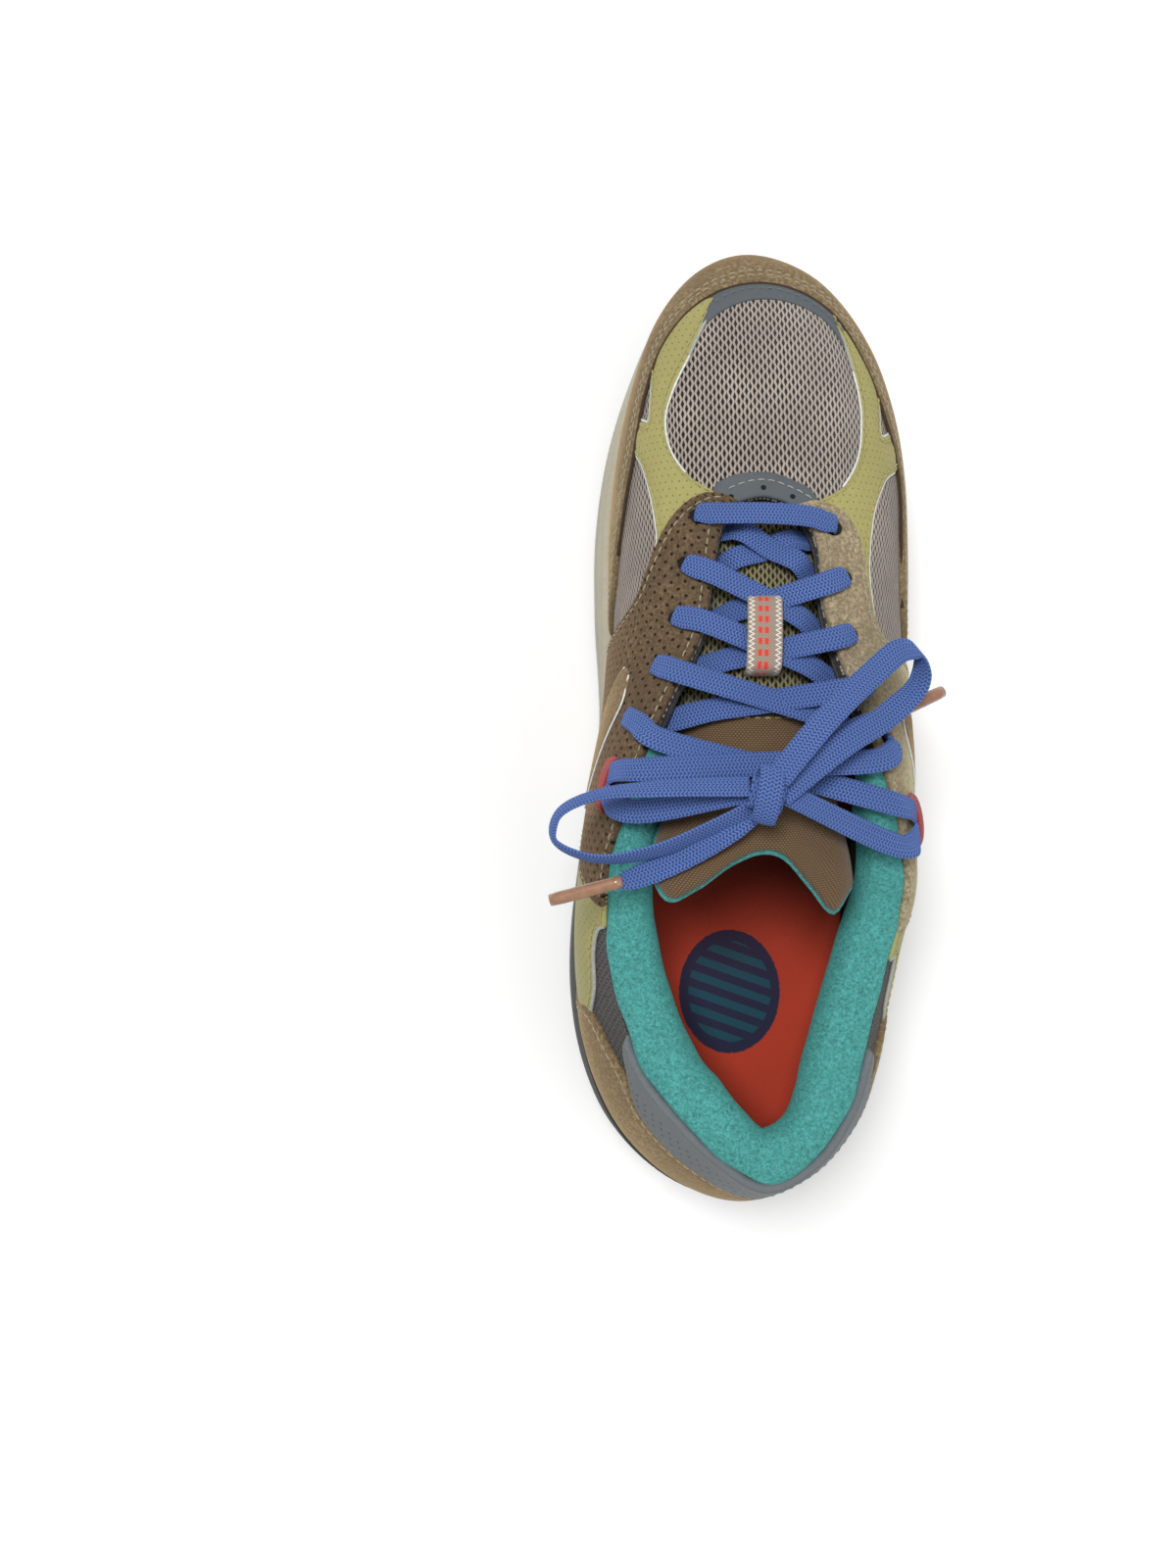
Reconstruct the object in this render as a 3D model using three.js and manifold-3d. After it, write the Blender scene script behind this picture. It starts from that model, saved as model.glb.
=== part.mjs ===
// A laced running shoe for the right foot, as an assembly of separate solids, in millimetres.
// +Y points to the toe, +X to the outer (lateral) side, +Z up, and the sole stands on z = 0.
import * as THREE from "three";
import { mergeVertices } from "three/addons/utils/BufferGeometryUtils.js";
import Module from "manifold-3d";

const wasm = await Module();
wasm.setup();
const { Manifold, Mesh } = wasm;

// Driving dimensions.
const shoeLength = 311;
const shoeWidth = 115;
const clearance = 0.3; // air between neighbouring solids
const baseThickness = 1.4; // mesh that the overlays are sewn to
const overlayThickness = 1.4;
const stiffenerThickness = 0.9; // toe puff and heel counter
const liningThickness = 1.0;
const collarPad = 13; // how far the collar's padding stands in at the ankle
const tonguePad = 5;
const outsoleForefoot = 3.6;
const outsoleHeel = 5;
const boardThickness = 1.5;
const footbedThickness = 4.5;
const footbedCover = 0.8;
const laceWidth = 7;
const laceThickness = 1.4;
const laceOver = 0.4; // air under a lace that lies on the saddle
const laceGap = 1.8; // air between the lining and a lace that runs under it
const eyeletRadius = 3;
const aglet = { length: 21, radius: 1.9 };
const treadGroove = { width: 3, depth: 2, pitch: 13 };

// Stations round the shoe: 0 is the back of the heel, 1 to 15 the lateral side, 16 the toe tip, 17 to 31 the medial side.
// The feather line is where the upper meets the sole, and the opening line is the edge of the throat and the collar.
const drawnLength = 311;
const drawnWidth = 115;
const featherLine = [
  [-6, -148], [14, -142], [28, -127], [34.5, -107], [37, -87], [38.5, -67], [40.5, -47], [43.5, -27],
  [46, -7], [48.5, 13], [50, 36], [50.5, 61], [48.5, 86], [44, 108.5], [35, 129], [20.5, 145.5],
  [2, 152.5], [-13.5, 148], [-25.5, 134.5], [-33.5, 114.5], [-39, 91.5], [-42, 66], [-42.5, 42], [-43, 19],
  [-44.5, -3], [-48, -25], [-50.5, -46], [-52, -68], [-51, -90], [-47, -110], [-38.5, -128], [-24, -142],
];
const openingLine = [
  [-1, -131.5], [13, -124.5], [22.5, -112], [27, -101], [31, -88], [36, -69], [39, -51], [36.5, -34],
  [31.5, -16], [25.5, 2], [19.5, 18], [16, 34], [15.5, 50], [12, 60], [7, 64], [3, 65.5],
  [0, 66], [-3.5, 65.5], [-7.5, 64], [-11, 61], [-13.5, 52], [-16, 37], [-19, 24], [-27, 8],
  [-34, -7], [-40, -24], [-45, -42], [-46, -62], [-43, -81], [-35.5, -101], [-26, -113], [-14.5, -124],
];
// Profiles along the length, each a list of [y, value].
const featherHeight = [[-150, 42], [-67, 40], [-27, 36.5], [13, 31], [60, 27], [108, 28], [152, 32]];
const openingHeight = [
  [-132, 94], [-124, 92.5], [-112, 89.5], [-101, 86], [-80, 82.5], [-62, 83], [-42, 90], [-24, 94.5],
  [-7, 95.5], [8, 93.5], [24, 89], [37, 85], [52, 81], [61, 79], [66, 78],
];
const lowBulge = [[-148, 2], [-100, 5], [-27, 4], [36, 2], [151, 2]];
const lowRise = [[-148, 16], [-67, 15], [-27, 20], [13, 22], [60, 22], [108, 24], [151, 25]];
const highReach = [
  [-148, 4], [-100, 7], [-50, 8], [-27, 9], [13, 14], [36, 18], [61, 23], [86, 28], [108, 32], [128, 38], [151, 44],
];
const highDrop = [[-148, 14], [-50, 12], [-27, 10], [13, 7], [61, 4], [86, 5], [108, 8], [151, 12]];
const groundRise = [[-155, 5], [-138, 1.2], [-120, 0], [70, 0], [100, 2.5], [130, 8], [156, 15]];
const soleFlare = [[-148, 7.5], [-90, 6.5], [-40, 4], [0, 3.5], [36, 6.5], [61, 7], [90, 6.5], [125, 4.5], [152, 3]];

const stations = featherLine.length;
const scaleX = shoeWidth / drawnWidth;
const scaleY = shoeLength / drawnLength;

// A smooth curve through [x, value] knots.
function along(knots, at) {
  const slope = (i) => (knots[i + 1][1] - knots[i][1]) / (knots[i + 1][0] - knots[i][0]);
  const last = knots.length - 1;
  const x = Math.min(Math.max(at, knots[0][0]), knots[last][0]);
  let i = 0;
  while (i < last - 1 && x > knots[i + 1][0]) i++;
  const tangent = (k) => (k === 0 ? slope(0) : k === last ? slope(last - 1) : (slope(k - 1) + slope(k)) / 2);
  const h = knots[i + 1][0] - knots[i][0];
  const f = (x - knots[i][0]) / h;
  const [a, b] = [knots[i][1], knots[i + 1][1]];
  return (
    (2 * f ** 3 - 3 * f ** 2 + 1) * a +
    (f ** 3 - 2 * f ** 2 + f) * h * tangent(i) +
    (3 * f ** 2 - 2 * f ** 3) * b +
    (f ** 3 - f ** 2) * h * tangent(i + 1)
  );
}

// A point on a closed line of stations.
function round(line, s) {
  const i = Math.floor(s);
  const f = s - i;
  const [a, b, c, d] = [-1, 0, 1, 2].map((k) => line[(((i + k) % stations) + stations) % stations]);
  return [0, 1].map(
    (k) =>
      0.5 *
      (2 * b[k] +
        (c[k] - a[k]) * f +
        (2 * a[k] - 5 * b[k] + 4 * c[k] - d[k]) * f ** 2 +
        (3 * b[k] - 3 * c[k] + d[k] - a[k]) * f ** 3),
  );
}

// The outward horizontal direction at a station of the feather line.
function outwards(s) {
  const [a, b] = [round(featherLine, s - 1e-3), round(featherLine, s + 1e-3)];
  return new THREE.Vector3(b[1] - a[1], a[0] - b[0], 0).normalize();
}

// The upper's outer surface: s is the station, and t runs from the feather line, 0, to the opening line, 1.
function upperPoint(s, t) {
  const [fx, fy] = round(featherLine, s);
  const [ox, oy] = round(openingLine, s);
  const out = outwards(s);
  const feather = new THREE.Vector3(fx, fy, along(featherHeight, fy));
  const opening = new THREE.Vector3(ox, oy, along(openingHeight, oy));
  const low = feather.clone().addScaledVector(out, along(lowBulge, fy));
  low.z += along(lowRise, fy);
  const high = opening.clone().addScaledVector(out, along(highReach, fy));
  high.z -= along(highDrop, fy);
  const point = new THREE.Vector3()
    .addScaledVector(feather, (1 - t) ** 3)
    .addScaledVector(low, 3 * t * (1 - t) ** 2)
    .addScaledVector(high, 3 * t * t * (1 - t))
    .addScaledVector(opening, t ** 3);
  return point.multiply(new THREE.Vector3(scaleX, scaleY, 1));
}

function upperNormal(s, t) {
  const h = 1e-3;
  const ds = upperPoint(s + h, t).sub(upperPoint(s - h, t));
  const dt = upperPoint(s, t + h).sub(upperPoint(s, t - h));
  return ds.cross(dt).normalize();
}

// Every layer of the upper shares one grid, so that its facets run parallel to its neighbours'.
const columnsPerStation = 1.25;
const rows = 6;
const columns = stations * columnsPerStation;
const gridPoints = [];
for (let i = 0; i < columns; i++) {
  for (let j = 0; j <= rows; j++) {
    const [s, t] = [i / columnsPerStation, j / rows];
    gridPoints.push({ point: upperPoint(s, t), normal: upperNormal(s, t) });
  }
}

function gridPoint(i, j, depth) {
  const g = gridPoints[(((i % columns) + columns) % columns) * (rows + 1) + j];
  return g.point.clone().addScaledVector(g.normal, depth);
}

// The grid triangle under station s and height t: its three corners, each with its weight.
function corners(s, t) {
  const x = s * columnsPerStation;
  const y = Math.min(Math.max(t, 0), 1) * rows;
  const i = Math.floor(x);
  const j = Math.min(Math.floor(y), rows - 1);
  const [f, g] = [x - i, y - j];
  return f + g <= 1
    ? [[i, j, 1 - f - g], [i + 1, j, f], [i, j + 1, g]]
    : [[i + 1, j + 1, f + g - 1], [i, j + 1, 1 - f], [i + 1, j, 1 - g]];
}

// The faceted surface at station s, height t and depth along the normal.
function onUpper(s, t, depth) {
  const point = new THREE.Vector3();
  for (const [i, j, weight] of corners(s, t)) point.addScaledVector(gridPoint(i, j, depth), weight);
  return point;
}

function manifoldOf(geometry) {
  const bare = geometry.clone();
  for (const name of Object.keys(bare.attributes)) if (name !== "position") bare.deleteAttribute(name);
  const merged = mergeVertices(bare, 1e-4);
  return new Manifold(
    new Mesh({
      numProp: 3,
      vertProperties: new Float32Array(merged.attributes.position.array),
      triVerts: new Uint32Array(merged.index.array),
    }),
  );
}

function geometryOf(solid, place = (x, y, z) => new THREE.Vector3(x, y, z)) {
  const mesh = solid.getMesh();
  const points = [];
  for (let k = 0; k < mesh.numVert; k++) {
    const [x, y, z] = mesh.vertProperties.subarray(k * mesh.numProp, k * mesh.numProp + 3);
    points.push(...place(x, y, z).toArray());
  }
  const geometry = new THREE.BufferGeometry();
  geometry.setAttribute("position", new THREE.Float32BufferAttribute(points, 3));
  return geometry.setIndex(Array.from(mesh.triVerts));
}

function meshGeometry(points, faces) {
  const geometry = new THREE.BufferGeometry();
  geometry.setAttribute("position", new THREE.Float32BufferAttribute(points.flatMap((p) => p.toArray()), 3));
  return geometry.setIndex(faces.flat());
}

// A closed solid between stacked closed rings with the same number of points, with its ends laddered across.
function ringSolid(rings) {
  const n = rings[0].length;
  const faces = [];
  for (let r = 0; r + 1 < rings.length; r++) {
    for (let i = 0; i < n; i++) {
      const [a, b] = [r * n + i, r * n + ((i + 1) % n)];
      faces.push([a, b, b + n], [a, b + n, a + n]);
    }
  }
  const top = (rings.length - 1) * n;
  for (let i = 0; i < n / 2; i++) {
    const [a, b] = [i, i + 1];
    const [c, d] = [(n - i) % n, n - i - 1];
    for (const [base, turned] of [[0, true], [top, false]]) {
      for (const face of [[a, b, d], [a, d, c]]) {
        if (new Set(face).size < 3) continue;
        const placed = face.map((k) => k + base);
        faces.push(turned ? placed.reverse() : placed);
      }
    }
  }
  return meshGeometry(rings.flat(), faces);
}

// --- Panels of the upper, cut flat in pattern space and laid on the surface. ---
const patternS = 21; // pattern millimetres for one station
const patternT = 68; // pattern millimetres from the feather line to the opening line

// Small bumps that keep every grid corner through the flat cuts. They are taken off again on the surface.
const bump = (i, j) => 0.2 * Math.sin(2.4 * i + 4.1 * j);

function patternSlab(from, to, inner, outer) {
  const [i0, i1] = [Math.floor(from * columnsPerStation), Math.ceil(to * columnsPerStation)];
  const wide = i1 - i0 + 1;
  const points = [];
  for (const depth of [inner, outer]) {
    for (let j = 0; j <= rows; j++) {
      for (let i = i0; i <= i1; i++) {
        const [x, y] = [(i / columnsPerStation) * patternS, (j / rows) * patternT];
        points.push(new THREE.Vector3(x, y, depth + bump(i, j)));
      }
    }
  }
  const layer = wide * (rows + 1);
  const faces = [];
  for (let j = 0; j < rows; j++) {
    for (let i = 0; i + 1 < wide; i++) {
      const a = j * wide + i;
      const [b, c, d] = [a + 1, a + wide, a + wide + 1];
      faces.push([a, c, b], [d, b, c]);
      faces.push([a + layer, b + layer, c + layer], [d + layer, c + layer, b + layer]);
    }
  }
  const rim = [];
  for (let i = 0; i + 1 < wide; i++) rim.push(i);
  for (let j = 0; j < rows; j++) rim.push(j * wide + wide - 1);
  for (let i = wide - 1; i > 0; i--) rim.push(rows * wide + i);
  for (let j = rows; j > 0; j--) rim.push(j * wide);
  rim.forEach((a, k) => {
    const b = rim[(k + 1) % rim.length];
    faces.push([a, b, b + layer], [a, b + layer, a + layer]);
  });
  return manifoldOf(meshGeometry(points, faces));
}

// The smooth outline through [station, t] points, in pattern millimetres.
function outlineOf(points) {
  const curve = new THREE.CatmullRomCurve3(
    points.map(([s, t]) => new THREE.Vector3(s * patternS, t * patternT, 0)),
    true,
    "centripetal",
  );
  return curve.getPoints(points.length * 2).slice(0, -1);
}

// The outline moved outwards by a margin.
function grown(outline, margin) {
  const turned = THREE.ShapeUtils.isClockWise(outline) ? -1 : 1;
  return outline.map((p, k) => {
    const before = outline[(k + outline.length - 1) % outline.length];
    const after = outline[(k + 1) % outline.length];
    const way = after.clone().sub(before).normalize();
    return new THREE.Vector3(p.x + turned * way.y * margin, p.y - turned * way.x * margin, 0);
  });
}

const prismReach = 30;
function prism(outline) {
  const shape = new THREE.Shape(outline.map((p) => new THREE.Vector2(p.x, p.y)));
  const geometry = new THREE.ExtrudeGeometry(shape, { depth: 2 * prismReach, bevelEnabled: false });
  return manifoldOf(geometry.translate(0, 0, -prismReach));
}

// A round hole of a true radius in the surface at a station and height.
function holeAt([s, t], radius) {
  const h = 1e-3;
  const perStation = upperPoint(s + h, t).distanceTo(upperPoint(s - h, t)) / (2 * h);
  const perHeight = upperPoint(s, t + h).distanceTo(upperPoint(s, t - h)) / (2 * h);
  const shape = new THREE.CylinderGeometry(radius, radius, 2 * prismReach, 8).rotateX(Math.PI / 2);
  shape.scale(patternS / perStation, patternT / perHeight, 1);
  return manifoldOf(shape.translate(s * patternS, t * patternT, 0));
}

// One panel between two depths. It stops short of its neighbours, and its holes go right through.
function panel(outline, inner, outer, { short = [], holes = [] } = {}) {
  const xs = outline.map((p) => p.x / patternS);
  const turns = [-stations, 0, stations];
  let solid = patternSlab(Math.min(...xs), Math.max(...xs), inner, outer).intersect(prism(outline));
  for (const neighbour of short) {
    for (const turn of turns) {
      const moved = grown(neighbour, clearance * 1.5).map((p) => p.clone().setX(p.x + turn * patternS));
      solid = solid.subtract(prism(moved));
    }
  }
  for (const hole of holes) solid = solid.subtract(hole);
  return geometryOf(solid, (x, y, z) => {
    const [s, t] = [x / patternS, y / patternT];
    const raised = corners(s, t).reduce((sum, [i, j, weight]) => sum + weight * bump(i, j), 0);
    return onUpper(s, t, z - raised);
  });
}

const below = -0.1; // outlines run past the feather line and the opening line by this much
const above = 1.1;
const outlines = {
  toe_rand: outlineOf([
    [9.2, below], [9.5, 0.2], [10.3, 0.38], [11.4, 0.41], [12.4, 0.42], [13.4, 0.44], [14.1, 0.41], [14.8, 0.36],
    [15.6, 0.36], [16.3, 0.375], [17.1, 0.39], [17.8, 0.42], [18.4, 0.47], [19.1, 0.49], [19.8, 0.48], [20.5, 0.43],
    [21.2, 0.35], [21.9, 0.22], [22.5, below],
  ]),
  saddle_medial: outlineOf([
    [17.9, above], [17.95, 0.97], [18.3, 0.925], [18.9, 0.89], [19.6, 0.83], [20.2, 0.77], [20.8, 0.7], [21.5, 0.61],
    [22.1, 0.46], [22.6, 0.2], [22.7, below], [25.2, below], [25.5, 0.25], [26.2, 0.6], [26.5, above],
  ]),
  saddle_lateral: outlineOf([
    [5.5, above], [5.8, 0.6], [6.3, 0.25], [6.7, below], [8.9, below], [9.1, 0.1], [9.5, 0.4], [9.9, 0.6],
    [10.3, 0.72], [11.1, 0.77], [11.9, 0.82], [12.6, 0.86], [13.1, 0.91], [13.5, 0.96], [13.6, above],
  ]),
  wing_lateral: outlineOf([
    [15, 0.3], [14.95, 0.38], [14.65, 0.43], [14.35, 0.51], [14, 0.58], [13.75, 0.65], [13.5, 0.72], [13.28, 0.83],
    [13.35, 0.93], [12.6, 0.93], [11.4, 0.86], [10.3, 0.76], [10.85, 0.74], [11.5, 0.76], [11.95, 0.75],
    [12.35, 0.7], [12.53, 0.6], [12.35, 0.46], [12.3, 0.36], [12.8, 0.34], [12.9, 0.44], [13.2, 0.53],
    [13.5, 0.43], [13.7, 0.34], [14.3, 0.3],
  ]),
  wing_medial: outlineOf([
    [16.5, 0.3], [16.56, 0.4], [16.8, 0.47], [17.15, 0.56], [17.65, 0.62], [18, 0.66], [18.2, 0.74], [18.25, 0.83],
    [18.1, 0.93], [19, 0.93], [20.4, 0.82], [21.1, 0.71], [20.4, 0.735], [20, 0.71], [19.65, 0.66], [19.45, 0.59],
    [19.5, 0.5], [19.55, 0.4], [19, 0.4], [18.9, 0.49], [18.5, 0.57], [18.22, 0.5], [18.1, 0.38], [17.4, 0.33],
  ]),
  toe_strip: outlineOf([
    [16.6, 0.3], [16.65, 0.4], [16.95, 0.5], [16.5, 0.48], [16.2, 0.462], [15.9, 0.452], [15.55, 0.443],
    [15.2, 0.437], [14.9, 0.44], [14.6, 0.47], [14.85, 0.4], [14.95, 0.3], [15.8, 0.29],
  ]),
  throat_tab: outlineOf([
    [18.3, above], [18.2, 0.95], [17.9, 0.925], [17.1, 0.93], [16.35, 0.94], [15.65, 0.94], [14.8, 0.935],
    [13.7, 0.925], [13.3, 0.95], [13.2, above],
  ]),
  quarter_lateral: outlineOf([
    [5.4, above], [4.95, above], [5, 0.9], [4.75, 0.82], [4.2, 0.74], [3.85, 0.56], [3.9, 0.3], [4.3, below],
    [6.75, below], [6.2, 0.3], [5.75, 0.6],
  ]),
  quarter_medial: outlineOf([
    [26.6, above], [26.85, above], [26.95, 0.9], [27.25, 0.82], [27.8, 0.74], [28.15, 0.56], [28.1, 0.3], [27.7, below],
    [25.1, below], [25.55, 0.3], [26.2, 0.6],
  ]),
  heel_wrap: outlineOf([
    [27.5, below], [27.9, 0.3], [28.1, 0.58], [28.6, 0.7], [29.1, 0.74], [29.65, 0.62], [30.25, 0.57], [31, 0.57],
    [32, 0.56], [33, 0.57], [33.75, 0.57], [34.35, 0.62], [34.9, 0.74], [35.4, 0.7], [35.9, 0.58], [36.1, 0.3],
    [36.5, below],
  ]),
  heel_collar: outlineOf([
    [28.5, above], [28.6, 0.95], [29, 0.84], [29.65, 0.67], [30.25, 0.62], [31, 0.62], [32, 0.61], [33, 0.62],
    [33.75, 0.62], [34.35, 0.67], [35, 0.84], [35.4, 0.95], [35.5, above],
  ]),
  side_stripe_lateral: outlineOf([[6.9, 0.3], [7.5, 0.3], [9.2, 0.62], [9.1, 0.68], [8.5, 0.68]]),
  side_stripe_medial: outlineOf([[25.1, 0.3], [24.5, 0.3], [22.8, 0.62], [22.9, 0.68], [23.5, 0.68]]),
};

// Eyelets as [station, height], from the toe end upwards.
const eyelets = {
  medial: [[19.45, 0.915], [20.6, 0.89], [21.7, 0.86], [22.65, 0.84], [23.6, 0.78]],
  lateral: [[12.4, 0.925], [11.35, 0.9], [10.35, 0.905], [9.45, 0.905], [8.55, 0.9]],
};
const eyeletHoles = [...eyelets.medial, ...eyelets.lateral].map((place) => holeAt(place, eyeletRadius));
const tabHoles = [[16.9, 0.96], [16, 0.965], [15.1, 0.96]].map((place) => holeAt(place, 0.9));

const named = new Map();
const shoe = new THREE.Group();
function add(name, geometry, color, roughness = 0.85, metalness = 0) {
  const mesh = new THREE.Mesh(geometry, new THREE.MeshStandardMaterial({ color, roughness, metalness }));
  mesh.name = name;
  shoe.add(mesh);
  named.set(name, mesh);
  return mesh;
}

const colors = {
  suede: 0x5f4b35, perforated: 0x4f3d2c, olive: 0x8f8b4e, gray: 0x4b5563, mesh: 0x85766d, darkMesh: 0x3d352d,
  teal: 0x3f9b93, insole: 0xb0372a, lace: 0x35509f, brown: 0x5b4630, cream: 0xb9b7a4, black: 0x23231f,
  rubber: 0x3a3a34, board: 0xd8d2c4, foam: 0xd9d6c9, red: 0xc2261f, copper: 0x8a5a44, white: 0xe4e2dc,
  label: 0xc9a79a, rim: 0x565a52,
};

// --- Layers of the upper, from the outside in. ---
const overlayInner = clearance;
const overlayOuter = overlayInner + overlayThickness;
const stripeOuter = overlayOuter + clearance + 1;
const stiffenerOuter = -baseThickness - clearance;
const liningOuter = stiffenerOuter - stiffenerThickness - clearance;
const liningInner = liningOuter - liningThickness;

function overlays() {
  const { toe_rand, saddle_medial, saddle_lateral, wing_lateral, wing_medial } = outlines;
  const cut = (name, short, color, options = {}) =>
    add(name, panel(outlines[name], overlayInner, overlayOuter, { short, ...options }), color);
  cut("toe_rand", [], colors.suede);
  cut("saddle_medial", [toe_rand], colors.perforated, { holes: eyeletHoles });
  cut("saddle_lateral", [toe_rand], colors.suede, { holes: eyeletHoles });
  cut("wing_lateral", [toe_rand, saddle_lateral], colors.olive, { holes: eyeletHoles });
  cut("wing_medial", [toe_rand, saddle_medial], colors.olive, { holes: eyeletHoles });
  cut("toe_strip", [toe_rand, wing_lateral, wing_medial], colors.gray);
  cut("throat_tab", [saddle_medial, saddle_lateral, wing_lateral, wing_medial], colors.gray, { holes: tabHoles });
  cut("quarter_lateral", [saddle_lateral], colors.olive);
  cut("quarter_medial", [saddle_medial], colors.olive);
  cut("heel_wrap", [outlines.quarter_lateral, outlines.quarter_medial], colors.suede);
  cut("heel_collar", [outlines.heel_wrap], colors.gray);
  for (const side of ["lateral", "medial"]) {
    const name = "side_stripe_" + side;
    add(name, panel(outlines[name], overlayOuter + clearance, stripeOuter), colors.white);
  }
}

const rect = (s0, s1, t0, t1) => [[s0, t0], [s1, t0], [s1, t1], [s0, t1]].map(
  ([s, t]) => new THREE.Vector3(s * patternS, t * patternT, 0),
);

const seam = 0.02; // half of the gap in stations where two base panels meet
const vampFrom = 8.6;
const vampTo = 23.55;
function baseLayers() {
  const base = (name, s0, s1, color) =>
    add(name, panel(rect(s0 + seam, s1 - seam, below, above), -baseThickness, 0, { holes: eyeletHoles }), color);
  base("vamp_mesh", vampFrom, vampTo, colors.mesh);
  base("quarter_mesh_lateral", 0, vampFrom, colors.darkMesh);
  base("quarter_mesh_medial", vampTo, stations, colors.darkMesh);
  const stiffener = (name, s0, s1, t1) =>
    add(name, panel(rect(s0, s1, 0.05, t1), stiffenerOuter - stiffenerThickness, stiffenerOuter), colors.board);
  stiffener("toe_puff", 13.6, 18.4, 0.4);
  stiffener("heel_counter", 28.2, 35.8, 0.7);
  const lining = panel(rect(8.45, 23.75, below, above), liningInner, liningOuter, { holes: eyeletHoles });
  add("vamp_lining", lining, colors.foam);
}

// --- The padded collar: a lining that rolls over a foam core. ---
const collarFrom = 23.95; // medial station where the padding starts
const collarTo = stations + 8.2;
const collarSteps = 26;
const up = new THREE.Vector3(0, 0, 1);

function padDepth(s) {
  const fade = Math.min(1, (s - collarFrom) / 1.6 + 0.45, (collarTo - s) / 1.6 + 0.45);
  const y = round(openingLine, s)[1];
  return collarPad * along([[-132, 0.85], [-105, 1.1], [-60, 1], [-35, 0.75], [0, 0.7]], y) * fade;
}

// The lining's outer face at a station, from the seam outside the rim, over the roll, and down to the board.
function collarPath(s) {
  const leg = -baseThickness - clearance;
  const pad = padDepth(s);
  const inward = outwards(s).negate();
  const roll = (deep, high) => onUpper(s, 1, leg).addScaledVector(inward, deep).addScaledVector(up, high);
  const lift = 3.4 * Math.min(1, pad / 8);
  return [
    onUpper(s, 0.86, leg), roll(0, 0), roll(0.5, lift * 0.6), roll(pad * 0.35, lift), roll(pad * 0.75, lift * 0.8),
    roll(pad, -1.5), roll(pad, -8), onUpper(s, 0.6, -pad * 0.85 - 3.5), onUpper(s, 0.35, -pad * 0.4 - 4.5),
    onUpper(s, 0.1, -6.5),
  ];
}

// The path moved towards the foam by a distance.
function inset(path, s, distance) {
  const across = outwards(s).applyAxisAngle(up, Math.PI / 2);
  return path.map((p, k) => {
    const tangent = path[Math.min(k + 1, path.length - 1)].clone().sub(path[Math.max(k - 1, 0)]);
    return p.clone().addScaledVector(tangent.cross(across).normalize(), distance);
  });
}

// A closed solid through a row of sections with the same number of points.
function loft(sections) {
  const n = sections[0].length;
  const faces = [];
  for (let r = 0; r + 1 < sections.length; r++) {
    for (let i = 0; i < n; i++) {
      const [a, b] = [r * n + i, r * n + ((i + 1) % n)];
      faces.push([a, b, b + n], [a, b + n, a + n]);
    }
  }
  const capFaces = (points) => {
    const normal = points.reduce(
      (sum, p, k) => sum.add(p.clone().sub(points[0]).cross(points[(k + 1) % n].clone().sub(points[0]))),
      new THREE.Vector3(),
    );
    const flat = new THREE.Quaternion().setFromUnitVectors(normal.normalize(), up);
    const drawn = points.map((p) => p.clone().applyQuaternion(flat)).map((p) => new THREE.Vector2(p.x, p.y));
    return THREE.ShapeUtils.triangulateShape(drawn, []);
  };
  const last = (sections.length - 1) * n;
  for (const face of capFaces(sections[0])) faces.push([...face].reverse());
  for (const face of capFaces(sections[sections.length - 1])) faces.push(face.map((k) => k + last));
  return outFacing(meshGeometry(sections.flat(), faces));
}

// Turns a closed surface so that it faces out.
function outFacing(geometry) {
  const { array } = geometry.attributes.position;
  const faces = Array.from(geometry.index.array);
  const corner = (k) => new THREE.Vector3().fromArray(array, faces[k] * 3);
  let volume = 0;
  for (let k = 0; k < faces.length; k += 3) volume += corner(k).dot(corner(k + 1).cross(corner(k + 2)));
  return volume > 0 ? geometry : geometry.setIndex(faces.reverse());
}

function collar() {
  const linings = [];
  const cores = [];
  for (let k = 0; k <= collarSteps; k++) {
    const s = collarFrom + ((collarTo - collarFrom) * k) / collarSteps;
    const path = collarPath(s);
    linings.push([...path, ...inset(path, s, liningThickness).reverse()]);
    if (k < 2 || k > collarSteps - 2) continue;
    const inner = inset(path, s, liningThickness + clearance).slice(1);
    const backing = -baseThickness - 2 * clearance - Math.max(liningThickness, stiffenerThickness + clearance);
    const outer = [onUpper(s, 0.12, backing), onUpper(s, 0.5, backing), onUpper(s, 0.86, backing - 0.1)];
    cores.push([...inner, ...outer].reverse());
  }
  add("collar_lining", loft(linings), colors.teal, 0.95);
  add("collar_foam", loft(cores), colors.foam);
}

// --- The sole, as rings stacked on the feather line. ---
const soleSteps = 48;
const recess = 8; // how deep the footbed sits inside the midsole's rim
const rimInset = 6.5;
function soleRing(grow, heightAt) {
  const points = [];
  for (let k = 0; k < soleSteps; k++) {
    const s = (k * stations) / soleSteps;
    const [x, y] = round(featherLine, s);
    const p = new THREE.Vector3(x, y, heightAt(y)).addScaledVector(outwards(s), grow(y));
    points.push(p.multiply(new THREE.Vector3(scaleX, scaleY, 1)));
  }
  return points.reverse();
}

const flare = (share, less = 0) => (y) => share * along(soleFlare, y) - less;
const ground = (y) => Math.max(0, along(groundRise, y));
const treadTop = (y) => ground(y) + along([[-60, outsoleHeel], [0, outsoleForefoot]], y);
const rimTop = (y) => along(featherHeight, y) - clearance;
const between = (share) => (y) => treadTop(y) + (rimTop(y) - treadTop(y)) * share;
const footbedFloor = (y) => rimTop(y) - recess;

function box(x0, x1, y0, y1, z0, z1) {
  const shape = new THREE.BoxGeometry(x1 - x0, y1 - y0, z1 - z0);
  return manifoldOf(shape.translate((x0 + x1) / 2, (y0 + y1) / 2, (z0 + z1) / 2));
}

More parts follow.
